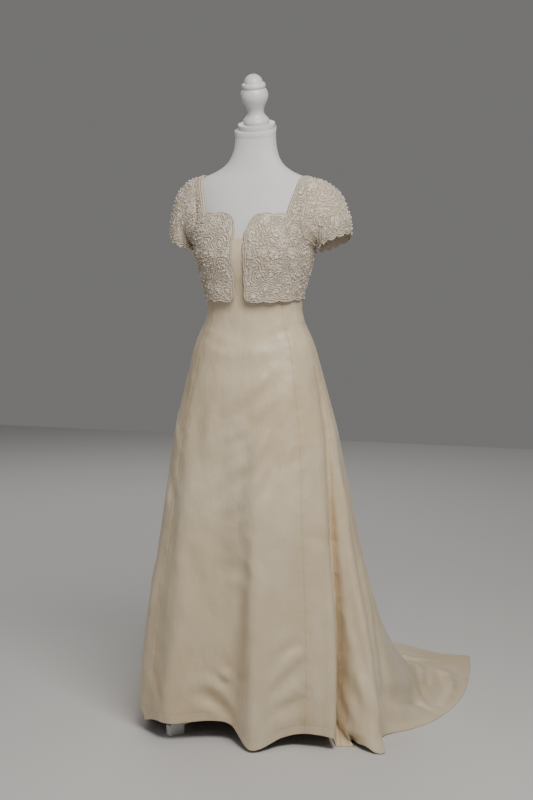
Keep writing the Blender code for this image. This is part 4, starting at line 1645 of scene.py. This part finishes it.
@dataclass
class Overbodice(Maker):
    """The cropped lace overbodice: two fronts and two backs, each with its strap."""

    cell: float = 0.00165
    thickness: float = 0.0009
    relief: float = 0.0027
    hem: float = 1.0755
    underarm: float = 1.205
    side: float = 90.0
    scallops: float = 2.0
    scallop_depth: float = 0.0046
    front_hang: float = 0.012
    hang_angle: float = 24.0
    hang_spread: float = 34.0
    hang_top: float = 1.165
    slit_lift: float = 0.004
    lift_spread: float = 12.0
    lift_ends: tuple[float, float] = (1.10, 1.20)
    top_corner: float = 9.5
    low_corner: float = 3.5
    slit_left: float = -2.2
    slit_right: float = 3.2
    edge_roll: float = 0.0030
    strap_inner: float = 0.1245
    strap_outer: float = 0.1430
    strap_axis: float = 1.262
    rest: float = 0.0022 + 0.0015 + 0.0010  # the gown's gap, the gown's wall and the lace's own gap
    seam_gap: float = 0.0003
    centre_radius: float = 0.125
    side_radius: float = 0.122
    seam_radius: float = 0.120
    shoulder_radius: float = 0.10
    strap_length: float = 0.105
    armhole_stretch: float = 1.12
    slit_wave: float = 0.036
    slit_scallop: float = 0.4
    farthest: float = 0.20
    halvings: int = 26
    nudge: float = 0.0004

    def off(self, angle: Array, z: Array) -> Array:
        """How far the inner face stands off the form.

        Args:
            angle: Degrees from the centre front.
            z: Height.

        Returns:
            Distance in metres.
        """
        turn = np.abs(wrap(angle))
        low = 1 - step_up(self.hem, self.hang_top, z)
        loose = self.front_hang * np.exp(-(((turn - self.hang_angle) / self.hang_spread) ** 2)) * low
        lift = self.slit_lift * np.exp(-((turn / self.lift_spread) ** 2)) * (1 - step_up(*self.lift_ends, z))
        return self.rest + loose + lift

    def body(self, angle: Array, z: Array) -> Pair:
        """Points of the inner face on the body, and the ways out."""
        away = SHAPE.away(angle, z, 1.5, 0.005)
        return SHAPE.point(angle, z) + away * self.off(angle, z)[..., None], away

    def shoulder(self, x: Array, turn: Array) -> Pair:
        """Points of the strap's inner face, and the ways out.

        Args:
            x: Distance sideways.
            turn: 0 in front, 90 on top, 180 behind.

        Returns:
            Points and unit vectors.
        """
        way = np.stack([0 * x, -np.cos(np.radians(turn)), np.sin(np.radians(turn))], axis=-1)
        start = np.stack([x, 0 * x, 0 * x + self.strap_axis], axis=-1)
        low = np.zeros(x.shape)
        high = low + self.farthest
        for _ in range(self.halvings):
            middle = (low + high) / 2
            inside = SHAPE.level(start + way * middle[..., None]) < 1.0
            low = np.where(inside, middle, low)
            high = np.where(inside, high, middle)
        point = start + way * low[..., None]
        nudges = np.eye(3) * self.nudge
        away = unit(np.stack([SHAPE.level(point + n) - SHAPE.level(point - n) for n in nudges], axis=-1))
        return point + away * self.rest, away

    def armhole_edge(self, cut: LaceCut, share: Array) -> Pair:
        """Follows the armhole's edge.

        Args:
            cut: Front or back.
            share: 0 at the underarm, 1 at the neckline.

        Returns:
            Angle and height.
        """
        turn = np.radians(90.0 * share)
        angle = self.side + (cut.armhole - self.side) * np.sin(turn)
        return angle, self.underarm + (cut.neckline - self.underarm) * (1 - np.cos(turn))

    def strap(self, cut: LaceCut, base_angles: Array, t: Array, across: Array) -> Pair:
        """Points of the strap, and the ways out.

        Args:
            cut: Front or back.
            base_angles: Angles at the strap's foot.
            t: 0 at the neckline, 1 at the shoulder seam.
            across: 0 at the strap's inner edge, 1 at the armhole.

        Returns:
            Points and unit vectors.
        """
        back = cut is LACE_BACK
        base_angles, t, across = np.broadcast_arrays(base_angles, t, across)
        base = SHAPE.point(180.0 - base_angles if back else base_angles, cut.neckline + 0 * base_angles)
        base_turn = np.degrees(np.arctan2(base[..., 2] - self.strap_axis, np.abs(base[..., 1])))
        seam = np.degrees(self.seam_gap / 2 / self.shoulder_radius)
        turn = base_turn + (90.0 - seam - base_turn) * t
        top_x = self.strap_inner + (self.strap_outer - self.strap_inner) * across
        x = base[..., 0] + (top_x - base[..., 0]) * step_up(0.0, 1.0, t)
        return self.shoulder(x, 180.0 - turn if back else turn)

    def cells(self, cut: LaceCut) -> Cells:
        """Counts the cells of one front or back.

        Args:
            cut: Front or back.

        Returns:
            The counts.
        """
        return Cells(
            centre=round(np.radians(cut.corner - cut.first) * self.centre_radius / self.cell),
            side=round(np.radians(self.side - cut.corner) * self.side_radius / self.cell),
            strap=round(self.strap_length / self.cell),
            arm=round((cut.neckline - self.underarm) * self.armhole_stretch / self.cell),
            low=round((self.underarm - self.hem) / self.cell),
        )

    def slit(self, side: Side, down: Array) -> Array:
        """How far a front's edge stands off its own place, in degrees.

        Args:
            side: The wearer's side.
            down: 0 at the hem, 1 at the neckline.

        Returns:
            The angle, with both corners rounded.
        """
        shift = self.slit_left if side is Side.LEFT else self.slit_right
        opened = shift * (1 - step_up(0.60, 0.95, down))
        for corner, start, end in ((self.top_corner, 0.74, 1.0), (self.low_corner, 0.07, 0.0)):
            t = np.clip((down - start) / (end - start), 0.0, 1.0)
            opened = opened + corner * (1 - np.sqrt(1 - t * t))
        return opened

    def lower(self, cut: LaceCut, side: Side, cells: Cells, shares: Pair) -> Pair:
        """Lays out the rows below the neckline, with their scalloped edges.

        Args:
            cut: Front or back.
            side: The wearer's side.
            cells: How many cells there are.
            shares: Places across between the centre and the corner, and between the corner and the side.

        Returns:
            Angles and heights.
        """
        edge, level = self.armhole_edge(cut, np.linspace(1.0, 0.0, cells.arm + 1))
        below = np.linspace(self.underarm, self.hem, cells.low + 1)[1:]
        seam = np.degrees(self.seam_gap / 2 / self.seam_radius)
        last = np.concatenate([edge, np.full(cells.low, self.side)]) - seam
        z = np.concatenate([level, below])[:, None]
        down = (z - self.hem) / (cut.neckline - self.hem)
        first = cut.first + self.slit(side, down) * (cut is LACE_FRONT)
        angles = np.concatenate([first + (cut.corner - first) * shares[0],
                                 cut.corner + (last[:, None] - cut.corner) * shares[1]], axis=1)
        run = np.concatenate([shares[0], 1 + shares[1]])
        scallop = self.scallop_depth * np.abs(np.sin(np.pi * (run * self.scallops))) ** 0.8
        on_neck = np.arange(len(run)) < cells.centre
        levels = z - scallop * (1 - step_up(0.0, 0.14, down)) + scallop * on_neck * step_up(0.86, 1.0, down)
        if cut is LACE_FRONT:
            wave = np.abs(np.sin(np.pi * (z - self.hem) / self.slit_wave)) ** 0.8
            near_slit = 1 - np.minimum(run * 4, 1)
            angles = angles + near_slit * self.slit_scallop * (1 - 2 * wave)
        return angles, levels

    def height(self, relief: Array, u: Array, cells: Cells) -> Array:
        """How thick the lace is: thinner at the armhole, where the sleeve laps it, and the strap's edge.

        Args:
            relief: The pattern's relief from 0 to 1.
            u: Distance across from the neckline's corner.
            cells: How many cells there are.

        Returns:
            Thickness in metres.
        """
        rows = np.arange(len(u))[:, None]
        calm = np.where(rows < cells.strap + cells.arm, step_up(0.0, 0.006, u[:, -1:] - u), 1.0)
        inner_edge = np.where(rows < cells.strap, step_up(-0.0005, 0.004, u), 1.0)
        return self.thickness + self.relief * relief * (0.08 + 0.92 * calm) * (0.35 + 0.65 * inner_edge)

    def half(self, cut: LaceCut, side: Side, seed: int) -> bpy.types.Object:
        """Builds one front or back with its strap.

        Args:
            cut: Front or back.
            side: The wearer's side.
            seed: Starts the pattern.

        Returns:
            The lace's piece.
        """
        back = cut is LACE_BACK
        cells = self.cells(cut)
        centre_share = np.linspace(0.0, 1.0, cells.centre, endpoint=False)
        share = np.linspace(0.0, 1.0, cells.side + 1)
        across = np.concatenate([0.1 * centre_share - 0.1, share])
        t = np.linspace(1.0, 0.0, cells.strap, endpoint=False)[:, None]
        base = cut.corner + (cut.armhole - cut.corner) * across
        strap, strap_away = self.strap(cut, base[None], t, across[None])
        angles, levels = self.lower(cut, side, cells, (centre_share, share))
        body, body_away = self.body(180.0 - angles if back else angles, levels)
        skin = np.concatenate([strap, body])
        away = np.concatenate([strap_away, body_away])
        # The neck's opening: the strap's rows have no cloth between the centre and the corner.
        kept = np.ones((len(skin) - 1, skin.shape[1] - 1), bool)
        kept[: cells.strap, : cells.centre] = False
        corner = slice(cells.centre, cells.centre + 1)
        u = run_length(skin, 1)
        u = u - u[:, corner]
        v = np.broadcast_to(run_length(skin, 0)[:, corner], u.shape)
        neckline, scalloped = self.edge_distances(skin, u, cells, back)
        relief, numbers, centres = Motifs(seed).fields(u, v, scalloped)
        skin = skin - away * (self.edge_roll * (1 - step_up(0.0, 0.007, neckline)))[..., None]
        skin = skin * (side.value, 1, 1)
        away = away * (side.value, 1, 1)
        outer = skin + away * self.height(relief, u, cells)[..., None]
        cloth = Cloth(skin, outer, np.stack([u, v], axis=-1), kept, False, numbers, LINING)
        if back != (side is Side.RIGHT):
            cloth = cloth.mirrored()
        name = f"{'back' if back else 'front'}_{side.word}"
        obj = cloth.build(f"overbodice_{name}", self.finishes.lace, self.origin)
        on_body(obj, "corded_lace", f"lace_{name}")
        usable = np.ones(skin.shape[:2], bool)
        usable[: cells.strap + 1, : cells.centre + 2] = False
        usable[[0, -1]] = False
        usable[:, [0, -1]] = False
        beads = Beads(self.finishes, self.origin)
        chosen = beads.choose(u, v, usable, centres, seed)
        pearls = beads.build(f"pearls_{name}", outer.reshape(-1, 3)[chosen], away.reshape(-1, 3)[chosen])
        declare_sheet(obj, cloth, ["dress_form"])
        return obj

    def edge_distances(self, skin: Array, u: Array, cells: Cells, back: bool) -> Pair:
        """Distance of each grid point in from the neckline, and from the nearest scalloped edge.

        Args:
            skin: The lace's grid of points.
            u: Distance across from the neckline's corner.
            cells: How many cells there are.
            back: Whether this is a back, whose centre edge is plain.

        Returns:
            The two distances in metres.
        """
        down = run_length(skin, 0)
        rows = np.arange(len(skin))[:, None]
        columns = np.arange(skin.shape[1])[None]
        below = np.maximum(down - down[cells.strap : cells.strap + 1], 0.0)
        neck = np.where((rows >= cells.strap) & (columns <= cells.centre), below, 1.0)
        inwards = np.maximum(u, 0.0)
        inner = np.where(rows < cells.strap, inwards, np.hypot(inwards, below[:, :1]))
        neckline = np.minimum(neck, np.where(columns >= cells.centre, inner, 1.0))
        slit = np.full(u.shape, 1.0) if back else np.where(rows >= cells.strap, u - u[:, :1], 1.0)
        return neckline, np.minimum(neckline, np.minimum(down[-1:] - down, slit))

    def build(self) -> list[bpy.types.Object]:
        """Builds the four halves."""
        return [self.half(*row) for row in HALVES]


@dataclass
class Sleeves(Maker):
    """The lace cap sleeves."""

    bodice: Overbodice
    cell: float = 0.0019
    centre: float = 0.019
    scallops: int = 12
    scallop_depth: float = 0.0060
    scallops_begin: float = 0.72
    fitted: float = 0.45
    back_drop: float = 0.015
    lift: float = 0.013
    off_lace: float = 0.0004
    lace: float = 0.0012
    lap: float = 0.0030
    spread_left: float = 1.0
    spread_right: float = 0.75
    thickness: float = 0.0009
    relief: float = 0.0021
    around: float = 0.42
    deep: float = 0.135
    gather: float = 0.0010
    strap_width: float = 0.0225
    side_radius: float = 0.122
    strap_steps: int = 12
    side_steps: int = 24
    half_steps: int = 200

    def armhole(self, cut: LaceCut, count: int, lap: float) -> Array:
        """Points along the armhole just off the overbodice, from the shoulder down.

        Args:
            cut: Front or back.
            count: How many points.
            lap: How far in over the lace they lie, in metres.

        Returns:
            The points.
        """
        t = np.linspace(1.0, 0.0, self.strap_steps)
        across = np.full(self.strap_steps, 1.0 - lap / self.strap_width)
        strap, strap_out = self.bodice.strap(cut, np.full(self.strap_steps, cut.armhole), t, across)
        angles, z = self.bodice.armhole_edge(cut, np.linspace(1.0, 0.0, self.side_steps))
        turn = np.radians(np.linspace(90.0, 0.0, self.side_steps))
        angles = angles - np.degrees(lap / self.side_radius) * np.sin(turn)
        z = z - lap * np.cos(turn)
        panel, panel_out = self.bodice.body(180.0 - angles if cut is LACE_BACK else angles, z)
        out = np.concatenate([strap_out[:-1], panel_out])
        path = np.concatenate([strap[:-1], panel]) + out * (self.lace + self.off_lace)
        length = run_length(path[None], 1)[0]
        at = np.linspace(0.0, length[-1], count)
        return np.stack([np.interp(at, length, path[:, k]) for k in range(3)], axis=-1)

    def loop(self, theta: Array, lap: float) -> Array:
        """Points round the whole armhole.

        Args:
            theta: Degrees from its top, the back at positive angles.
            lap: How far in over the lace they lie, in metres.

        Returns:
            The points.
        """
        half = self.half_steps
        turns = np.linspace(-180.0, 180.0, 2 * half + 1)
        front = self.armhole(LACE_FRONT, half + 1, lap)[::-1]
        points = np.concatenate([front, self.armhole(LACE_BACK, half + 1, lap)[1:]])
        return np.stack([np.interp(theta, turns, points[:, k]) for k in range(3)], axis=-1)

    def tube(self, side: Side, theta: Array, k: Array) -> Array:
        """The sleeve's inner face, before the right one is mirrored.

        Args:
            side: The wearer's side.
            theta: Degrees round the sleeve from its top.
            k: 0 at the armhole, 1 at the hem.

        Returns:
            A grid of points, starting with two rings that lap the armhole.
        """
        left = side is Side.LEFT
        spread = self.spread_left if left else self.spread_right
        stations = np.linspace(0.0, 1.0, len(SLEEVE))
        s = np.sin(np.radians(theta))
        c = np.cos(np.radians(theta))
        turn, length, depth, low_x, low_z = [smooth(stations, column(SLEEVE, n), k) for n in Oval._fields]
        up = (1 + c) / 2 * length
        x = low_x + up * np.sin(np.radians(turn)) * spread
        z = low_z + up * np.cos(np.radians(turn)) - self.back_drop * np.maximum(s, 0.0) * k
        z = z + self.lift * left * step_up(0.4, 1.0, k) * np.clip(0.6 * (1 + c) + 0.6 * np.abs(s), 0.0, 1.0)
        ring = np.stack([x, self.centre + depth * s + 0 * x, z], axis=-1)
        skin = ring + (self.loop(theta, 0.0) - ring[0]) * (1 - step_up(0.0, self.fitted, k))[..., None]
        scallop = np.abs(np.sin(np.pi * self.scallops * theta / 360.0)) ** 0.8
        way = unit(skin[-1] - skin[-2])
        low = step_up(self.scallops_begin, 1.0, k)
        skin = skin + way[None] * (self.scallop_depth * scallop[None] * low)[..., None]
        lapped = np.stack([self.loop(theta, self.lap * share) for share in (1.0, 0.5)])
        return np.concatenate([lapped, skin])

    def sleeve(self, side: Side, seed: int) -> bpy.types.Object:
        """Builds one sleeve.

        Args:
            side: The wearer's side.
            seed: Starts the pattern.

        Returns:
            The sleeve's piece.
        """
        around = round(self.around / self.cell)
        theta = np.linspace(-180.0, 180.0, around, endpoint=False)
        k = np.linspace(0.0, 1.0, round(self.deep / self.cell) + 1)[:, None]
        skin = self.tube(side, theta, k)
        k = np.concatenate([[[0.0], [0.0]], k])
        around_skin = np.concatenate([skin[:, -1:], skin, skin[:, :1]], axis=1)
        across = np.gradient(around_skin, axis=1)[:, 1:-1]
        out = unit(np.cross(np.gradient(skin, axis=0), across))
        u = run_length(skin, 1)
        u = u - u[:, around // 2 : around // 2 + 1]
        v = run_length(skin, 0)
        edge = v[-1:] - v
        relief, numbers, centres = Motifs(seed).fields(u, v, edge)
        ripple = np.cos(np.radians(theta) * 30 + 1.3 * np.sin(np.radians(theta) * 7))
        gather = self.gather * ripple * np.cos(np.radians(theta) / 2) ** 2
        gather = gather[None] * (1 - step_up(0.03, 0.30, k)) * step_up(0.0, 0.05, k)
        height = self.thickness + self.relief * relief * (0.25 + 0.75 * step_up(0.0, 0.05, k))
        inner = skin + out * np.maximum(gather, 0.0)[..., None]
        outer = inner + out * height[..., None]
        mirror = (side.value, 1, 1)
        outer = outer * mirror
        out = out * mirror
        cloth = Cloth(inner * mirror, outer, np.stack([u, v], axis=-1), None, True, numbers, LINING)
        if side is Side.RIGHT:
            cloth = cloth.mirrored()
        obj = cloth.build(f"cap_sleeve_{side.word}", self.finishes.lace, self.origin)
        on_body(obj, "corded_lace", f"sleeve_{side.word}")
        usable = np.ones(skin.shape[:2], bool)
        usable[:3] = False
        usable[-1:] = False
        beads = Beads(self.finishes, self.origin)
        chosen = beads.choose(u, v, usable, centres, seed)
        name = f"pearls_sleeve_{side.word}"
        pearls = beads.build(name, outer.reshape(-1, 3)[chosen], out.reshape(-1, 3)[chosen])
        declare_sheet(obj, cloth, [f"overbodice_front_{side.word}"])
        return obj

    def build(self) -> list[bpy.types.Object]:
        """Builds both sleeves, each with a seed of its own."""
        return [self.sleeve(side, seed) for side, seed in ((Side.LEFT, 31), (Side.RIGHT, 37))]


@dataclass
class DressForm(Maker):
    """The padded body under its jersey cover."""

    around: int = 144
    step: float = 0.006
    tilt_begins: float = 1.404
    cover_radius: float = 0.13

    def build(self) -> bpy.types.Object:
        """Builds the padded body.

        Returns:
            The form's piece.
        """
        top = FORM[-1].z
        bottom = FORM[0].z
        levels = np.unique(np.concatenate([np.arange(bottom, top, self.step), column(FORM, "z")]))[::-1]
        angles = np.linspace(-180.0, 180.0, self.around, endpoint=False)
        angle, z = np.meshgrid(angles, levels)
        rings = SHAPE.point(angle, z)
        tilt = step_up(self.tilt_begins, FORM[-2].z, z) * math.tan(NECK_TILT)
        rings[..., 2] += (rings[..., 1] - NECK_Y) * tilt
        rows = len(levels)
        count = self.around
        points = rings.reshape(-1, 3) + self.origin
        a = (np.arange(rows - 1)[:, None] * count + np.arange(count)[None]).ravel()
        d = (np.arange(rows - 1)[:, None] * count + (np.arange(count) + 1)[None] % count).ravel()
        faces = np.stack([a, a + count, d + count, d], axis=1).tolist()
        faces += self.lids(rows)
        mesh = bpy.data.meshes.new("dress_form")
        middles = [points[:count].mean(0), points[-count:].mean(0)]
        mesh.from_pydata(np.concatenate([points, middles]).tolist(), [], faces)
        u = (np.radians(angle) * self.cover_radius).ravel()
        flat = np.concatenate([np.stack([u, z.ravel()], axis=-1), [(0.0, top), (0.0, bottom)]])
        layer = mesh.uv_layers.new(name="cut")
        loops = np.zeros(len(mesh.loops), np.int32)
        mesh.loops.foreach_get("vertex_index", loops)
        layer.uv.foreach_set("vector", flat[loops].astype(np.float32).ravel())
        mesh.shade_smooth()
        obj = link(bpy.data.objects.new("dress_form", mesh), self.finishes.jersey)
        on_body(obj, "jersey", "form_body")
        return obj

    def lids(self, rows: int) -> list[list[int]]:
        """Closes the neck's top and the underside.

        Args:
            rows: How many rings of points the body has.

        Returns:
            Faces to the middle of each, whose points follow the rings.
        """
        count = self.around
        top = rows * count
        low = (rows - 1) * count
        faces = []
        for i in range(count):
            beside = (i + 1) % count
            faces.append([top, i, beside])
            faces.append([top + 1, low + beside, low + i])
        return faces


@dataclass
class Stand(Maker):
    """The painted wooden parts: neck cap, finial, pole, hub and three feet."""

    segments: int = 48
    gap: float = 0.0003
    leg_thickness: float = 0.018
    leg_angles: tuple[float, ...] = (-38.0, 82.0, 202.0)
    leg_rounding: float = 0.0022
    inset_share: float = 0.4
    sharp: float = math.radians(40.0)
    sawn: float = math.radians(50.0)

    def turned(self, name: str, profile: Sequence[Turned]) -> bpy.types.Object:
        """Turns a piece: a disc is extruded ring by ring and each ring resized.

        Args:
            name: The piece's name.
            profile: Its rings, bottom to top.

        Returns:
            The piece about the world's Z axis.
        """
        bpy.ops.object.select_all(action="DESELECT")
        first = profile[0]
        bpy.ops.mesh.primitive_circle_add(vertices=self.segments, radius=first.radius, fill_type="NGON",
                                          location=(0.0, 0.0, first.height))
        obj = bpy.context.active_object
        obj.name = name
        obj.data.name = name
        bpy.ops.object.mode_set(mode="EDIT")
        bpy.ops.mesh.select_all(action="SELECT")
        before = first
        for ring in profile[1:]:
            rise = (0.0, 0.0, ring.height - before.height)
            bpy.ops.mesh.extrude_region_move(TRANSFORM_OT_translate={"value": rise})
            grow = ring.radius / before.radius
            bpy.ops.transform.resize(value=(grow, grow, 1.0), center_override=(0.0, 0.0, ring.height))
            before = ring
        bpy.ops.mesh.inset(thickness=before.radius * self.inset_share)
        bpy.ops.mesh.select_all(action="SELECT")
        bpy.ops.mesh.normals_make_consistent(inside=False)
        bpy.ops.object.mode_set(mode="OBJECT")
        bpy.ops.object.shade_smooth_by_angle(angle=self.sharp)
        return obj

    def lean(self, obj: bpy.types.Object, rise: float) -> None:
        """Sets a turned piece on the tilted neck.

        Args:
            obj: The piece.
            rise: How far it stands above the neck's top.
        """
        obj.rotation_euler.x = NECK_TILT
        top = FORM[-1].z
        obj.location = (0.0, NECK_Y - rise * math.sin(NECK_TILT), top + rise * math.cos(NECK_TILT))

    def leg(self, name: str, angle: float) -> bpy.types.Object:
        """Saws one foot: an upright end face is extruded outwards, section by section, and rounded.

        Args:
            name: The piece's name.
            angle: Its bearing in degrees.

        Returns:
            The foot.
        """
        bpy.ops.object.select_all(action="DESELECT")
        first = LEG[0]
        bpy.ops.mesh.primitive_plane_add(size=1.0, location=(0.0, -first.out, (first.low + first.high) / 2),
                                         rotation=(math.radians(90.0), 0.0, 0.0))
        obj = bpy.context.active_object
        obj.name = name
        obj.data.name = name
        obj.scale = (self.leg_thickness, first.high - first.low, 1.0)
        bpy.ops.object.transform_apply(location=True, rotation=True, scale=True)
        bpy.ops.object.mode_set(mode="EDIT")
        bpy.ops.mesh.select_all(action="SELECT")
        before = first
        for cut in LEG[1:]:
            middle = (cut.low + cut.high) / 2
            step = (0.0, before.out - cut.out, middle - (before.low + before.high) / 2)
            bpy.ops.mesh.extrude_region_move(TRANSFORM_OT_translate={"value": step})
            grow = (cut.high - cut.low) / (before.high - before.low)
            bpy.ops.transform.resize(value=(1.0, 1.0, grow), center_override=(0.0, -cut.out, middle))
            before = cut
        bpy.ops.mesh.select_all(action="SELECT")
        bpy.ops.mesh.normals_make_consistent(inside=False)
        bpy.ops.object.mode_set(mode="OBJECT")
        round_off = obj.modifiers.new("edges", "BEVEL")
        round_off.width = self.leg_rounding
        round_off.segments = 3
        round_off.limit_method = "ANGLE"
        round_off.angle_limit = self.sawn
        bpy.ops.object.modifier_apply(modifier=round_off.name)
        bpy.ops.object.shade_smooth_by_angle(angle=self.sharp)
        obj.rotation_euler.z = math.radians(angle)
        return obj

    def settle(self, obj: bpy.types.Object, node: str) -> bpy.types.Object:
        """Puts a finished piece in its place, with that place in its mesh.

        Args:
            obj: The piece.
            node: The node that it stands for.

        Returns:
            The piece.
        """
        obj.location = Vector(obj.location) + Vector(self.origin)
        bpy.ops.object.select_all(action="DESELECT")
        obj.select_set(True)
        bpy.context.view_layer.objects.active = obj
        bpy.ops.object.transform_apply(location=True, rotation=True, scale=True)
        return on_body(link(obj, self.finishes.paint), "white_paint", node)

    def build(self) -> list[bpy.types.Object]:
        """Builds and places all the painted parts.

        Returns:
            The pieces.
        """
        pieces = []
        for node, profile, rise in (("neck_cap", NECK_CAP, self.gap),
                                    ("finial", FINIAL, NECK_CAP[-1].height + 2 * self.gap)):
            piece = self.turned(f"painted_{node}", profile)
            self.lean(piece, rise)
            pieces.append(self.settle(piece, node))
        for node, profile in (("pole", POLE), ("hub", HUB)):
            pieces.append(self.settle(self.turned(f"painted_{node}", profile), node))
        for number, angle in enumerate(self.leg_angles, 1):
            pieces.append(self.settle(self.leg(f"painted_leg_{number}", angle), f"leg_{number}"))
        return pieces


class Lamp(NamedTuple):
    """One soft light, its place about the form's axis."""

    name: str
    at: Triple
    size: float
    power: float
    colour: Colour


# The studio's lights.
LAMPS = (
    Lamp("key", (0.95, -1.35, 2.60), 1.2, 54.0, (1.0, 0.975, 0.94)),
    Lamp("fill", (-3.0, -2.4, 1.9), 2.6, 7.0, (0.97, 0.98, 1.0)),
    Lamp("back", (-1.6, 3.2, 2.9), 2.4, 36.0, (1.0, 0.98, 0.95)),
)


@dataclass
class Studio(Maker):
    """Camera, lights and floor."""

    azimuth: float = math.radians(17.0)
    pitch: float = math.radians(7.61)
    distance: float = 4.5
    height: float = 1.42
    aside: float = 0.029
    lens: float = 81.72
    sensor: float = 36.0
    farthest: float = 60.0
    aim: float = 0.95
    floor_size: float = 9.0
    floor_drop: float = 0.0004
    sky: Colour = (0.80, 0.79, 0.775)
    sky_strength: float = 0.22

    def camera(self) -> None:
        """Sets the camera at the photograph's angle."""
        data = bpy.data.cameras.new("camera")
        data.lens = self.lens
        data.sensor_width = self.sensor
        data.clip_end = self.farthest
        camera = bpy.data.objects.new("camera", data)
        right = Vector((math.cos(self.azimuth), math.sin(self.azimuth), 0.0))
        ahead = Vector((-math.sin(self.azimuth), math.cos(self.azimuth), 0.0))
        place = Vector(self.origin) - ahead * self.distance + right * self.aside
        camera.location = place + Vector((0, 0, self.height))
        camera.rotation_euler = (math.radians(90.0) - self.pitch, 0.0, self.azimuth)
        bpy.context.scene.collection.objects.link(camera)
        bpy.context.scene.camera = camera

    def light(self, lamp: Lamp) -> None:
        """Adds one soft light that looks at the dress.

        Args:
            lamp: The light.
        """
        data = bpy.data.lights.new(lamp.name, "AREA")
        data.size = lamp.size
        data.energy = lamp.power
        data.color = lamp.colour
        obj = bpy.data.objects.new(lamp.name, data)
        obj.location = Vector(lamp.at) + Vector(self.origin)
        aim = Vector(self.origin) + Vector((0.0, 0.0, self.aim)) - obj.location
        obj.rotation_euler = aim.to_track_quat("-Z", "Y").to_euler()
        bpy.context.scene.collection.objects.link(obj)

    def floor(self) -> None:
        """Lays the floor."""
        bpy.ops.object.select_all(action="DESELECT")
        x, y, _ = self.origin
        bpy.ops.mesh.primitive_plane_add(size=self.floor_size, location=(x, y, -self.floor_drop))
        floor = bpy.context.active_object
        floor.name = "floor"
        bpy.ops.object.transform_apply(location=True, rotation=True, scale=True)
        link(floor, self.finishes.floor)

    def build(self) -> None:
        """Sets up the whole studio."""
        self.camera()
        for lamp in LAMPS:
            self.light(lamp)
        self.floor()
        world = bpy.data.worlds.new("studio")
        world.use_nodes = True
        sky = world.node_tree.nodes["Background"].inputs
        sky["Color"].default_value = (*self.sky, 1.0)
        sky["Strength"].default_value = self.sky_strength
        bpy.context.scene.world = world


def main() -> None:
    """Builds every piece in order."""
    logging.basicConfig(level=logging.INFO, format="%(name)s: %(message)s")
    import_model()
    low, high = (np.array(corner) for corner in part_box("pole"))
    origin = (low + high) / 2 * (1, 1, 0)
    finishes = Finishes()
    Studio(finishes, origin).build()
    DressForm(finishes, origin).build()
    Stand(finishes, origin).build()
    Gown(finishes, origin).build()
    overbodice = Overbodice(finishes, origin)
    overbodice.build()
    Sleeves(finishes, origin, overbodice).build()


if __name__ == "__main__":
    main()
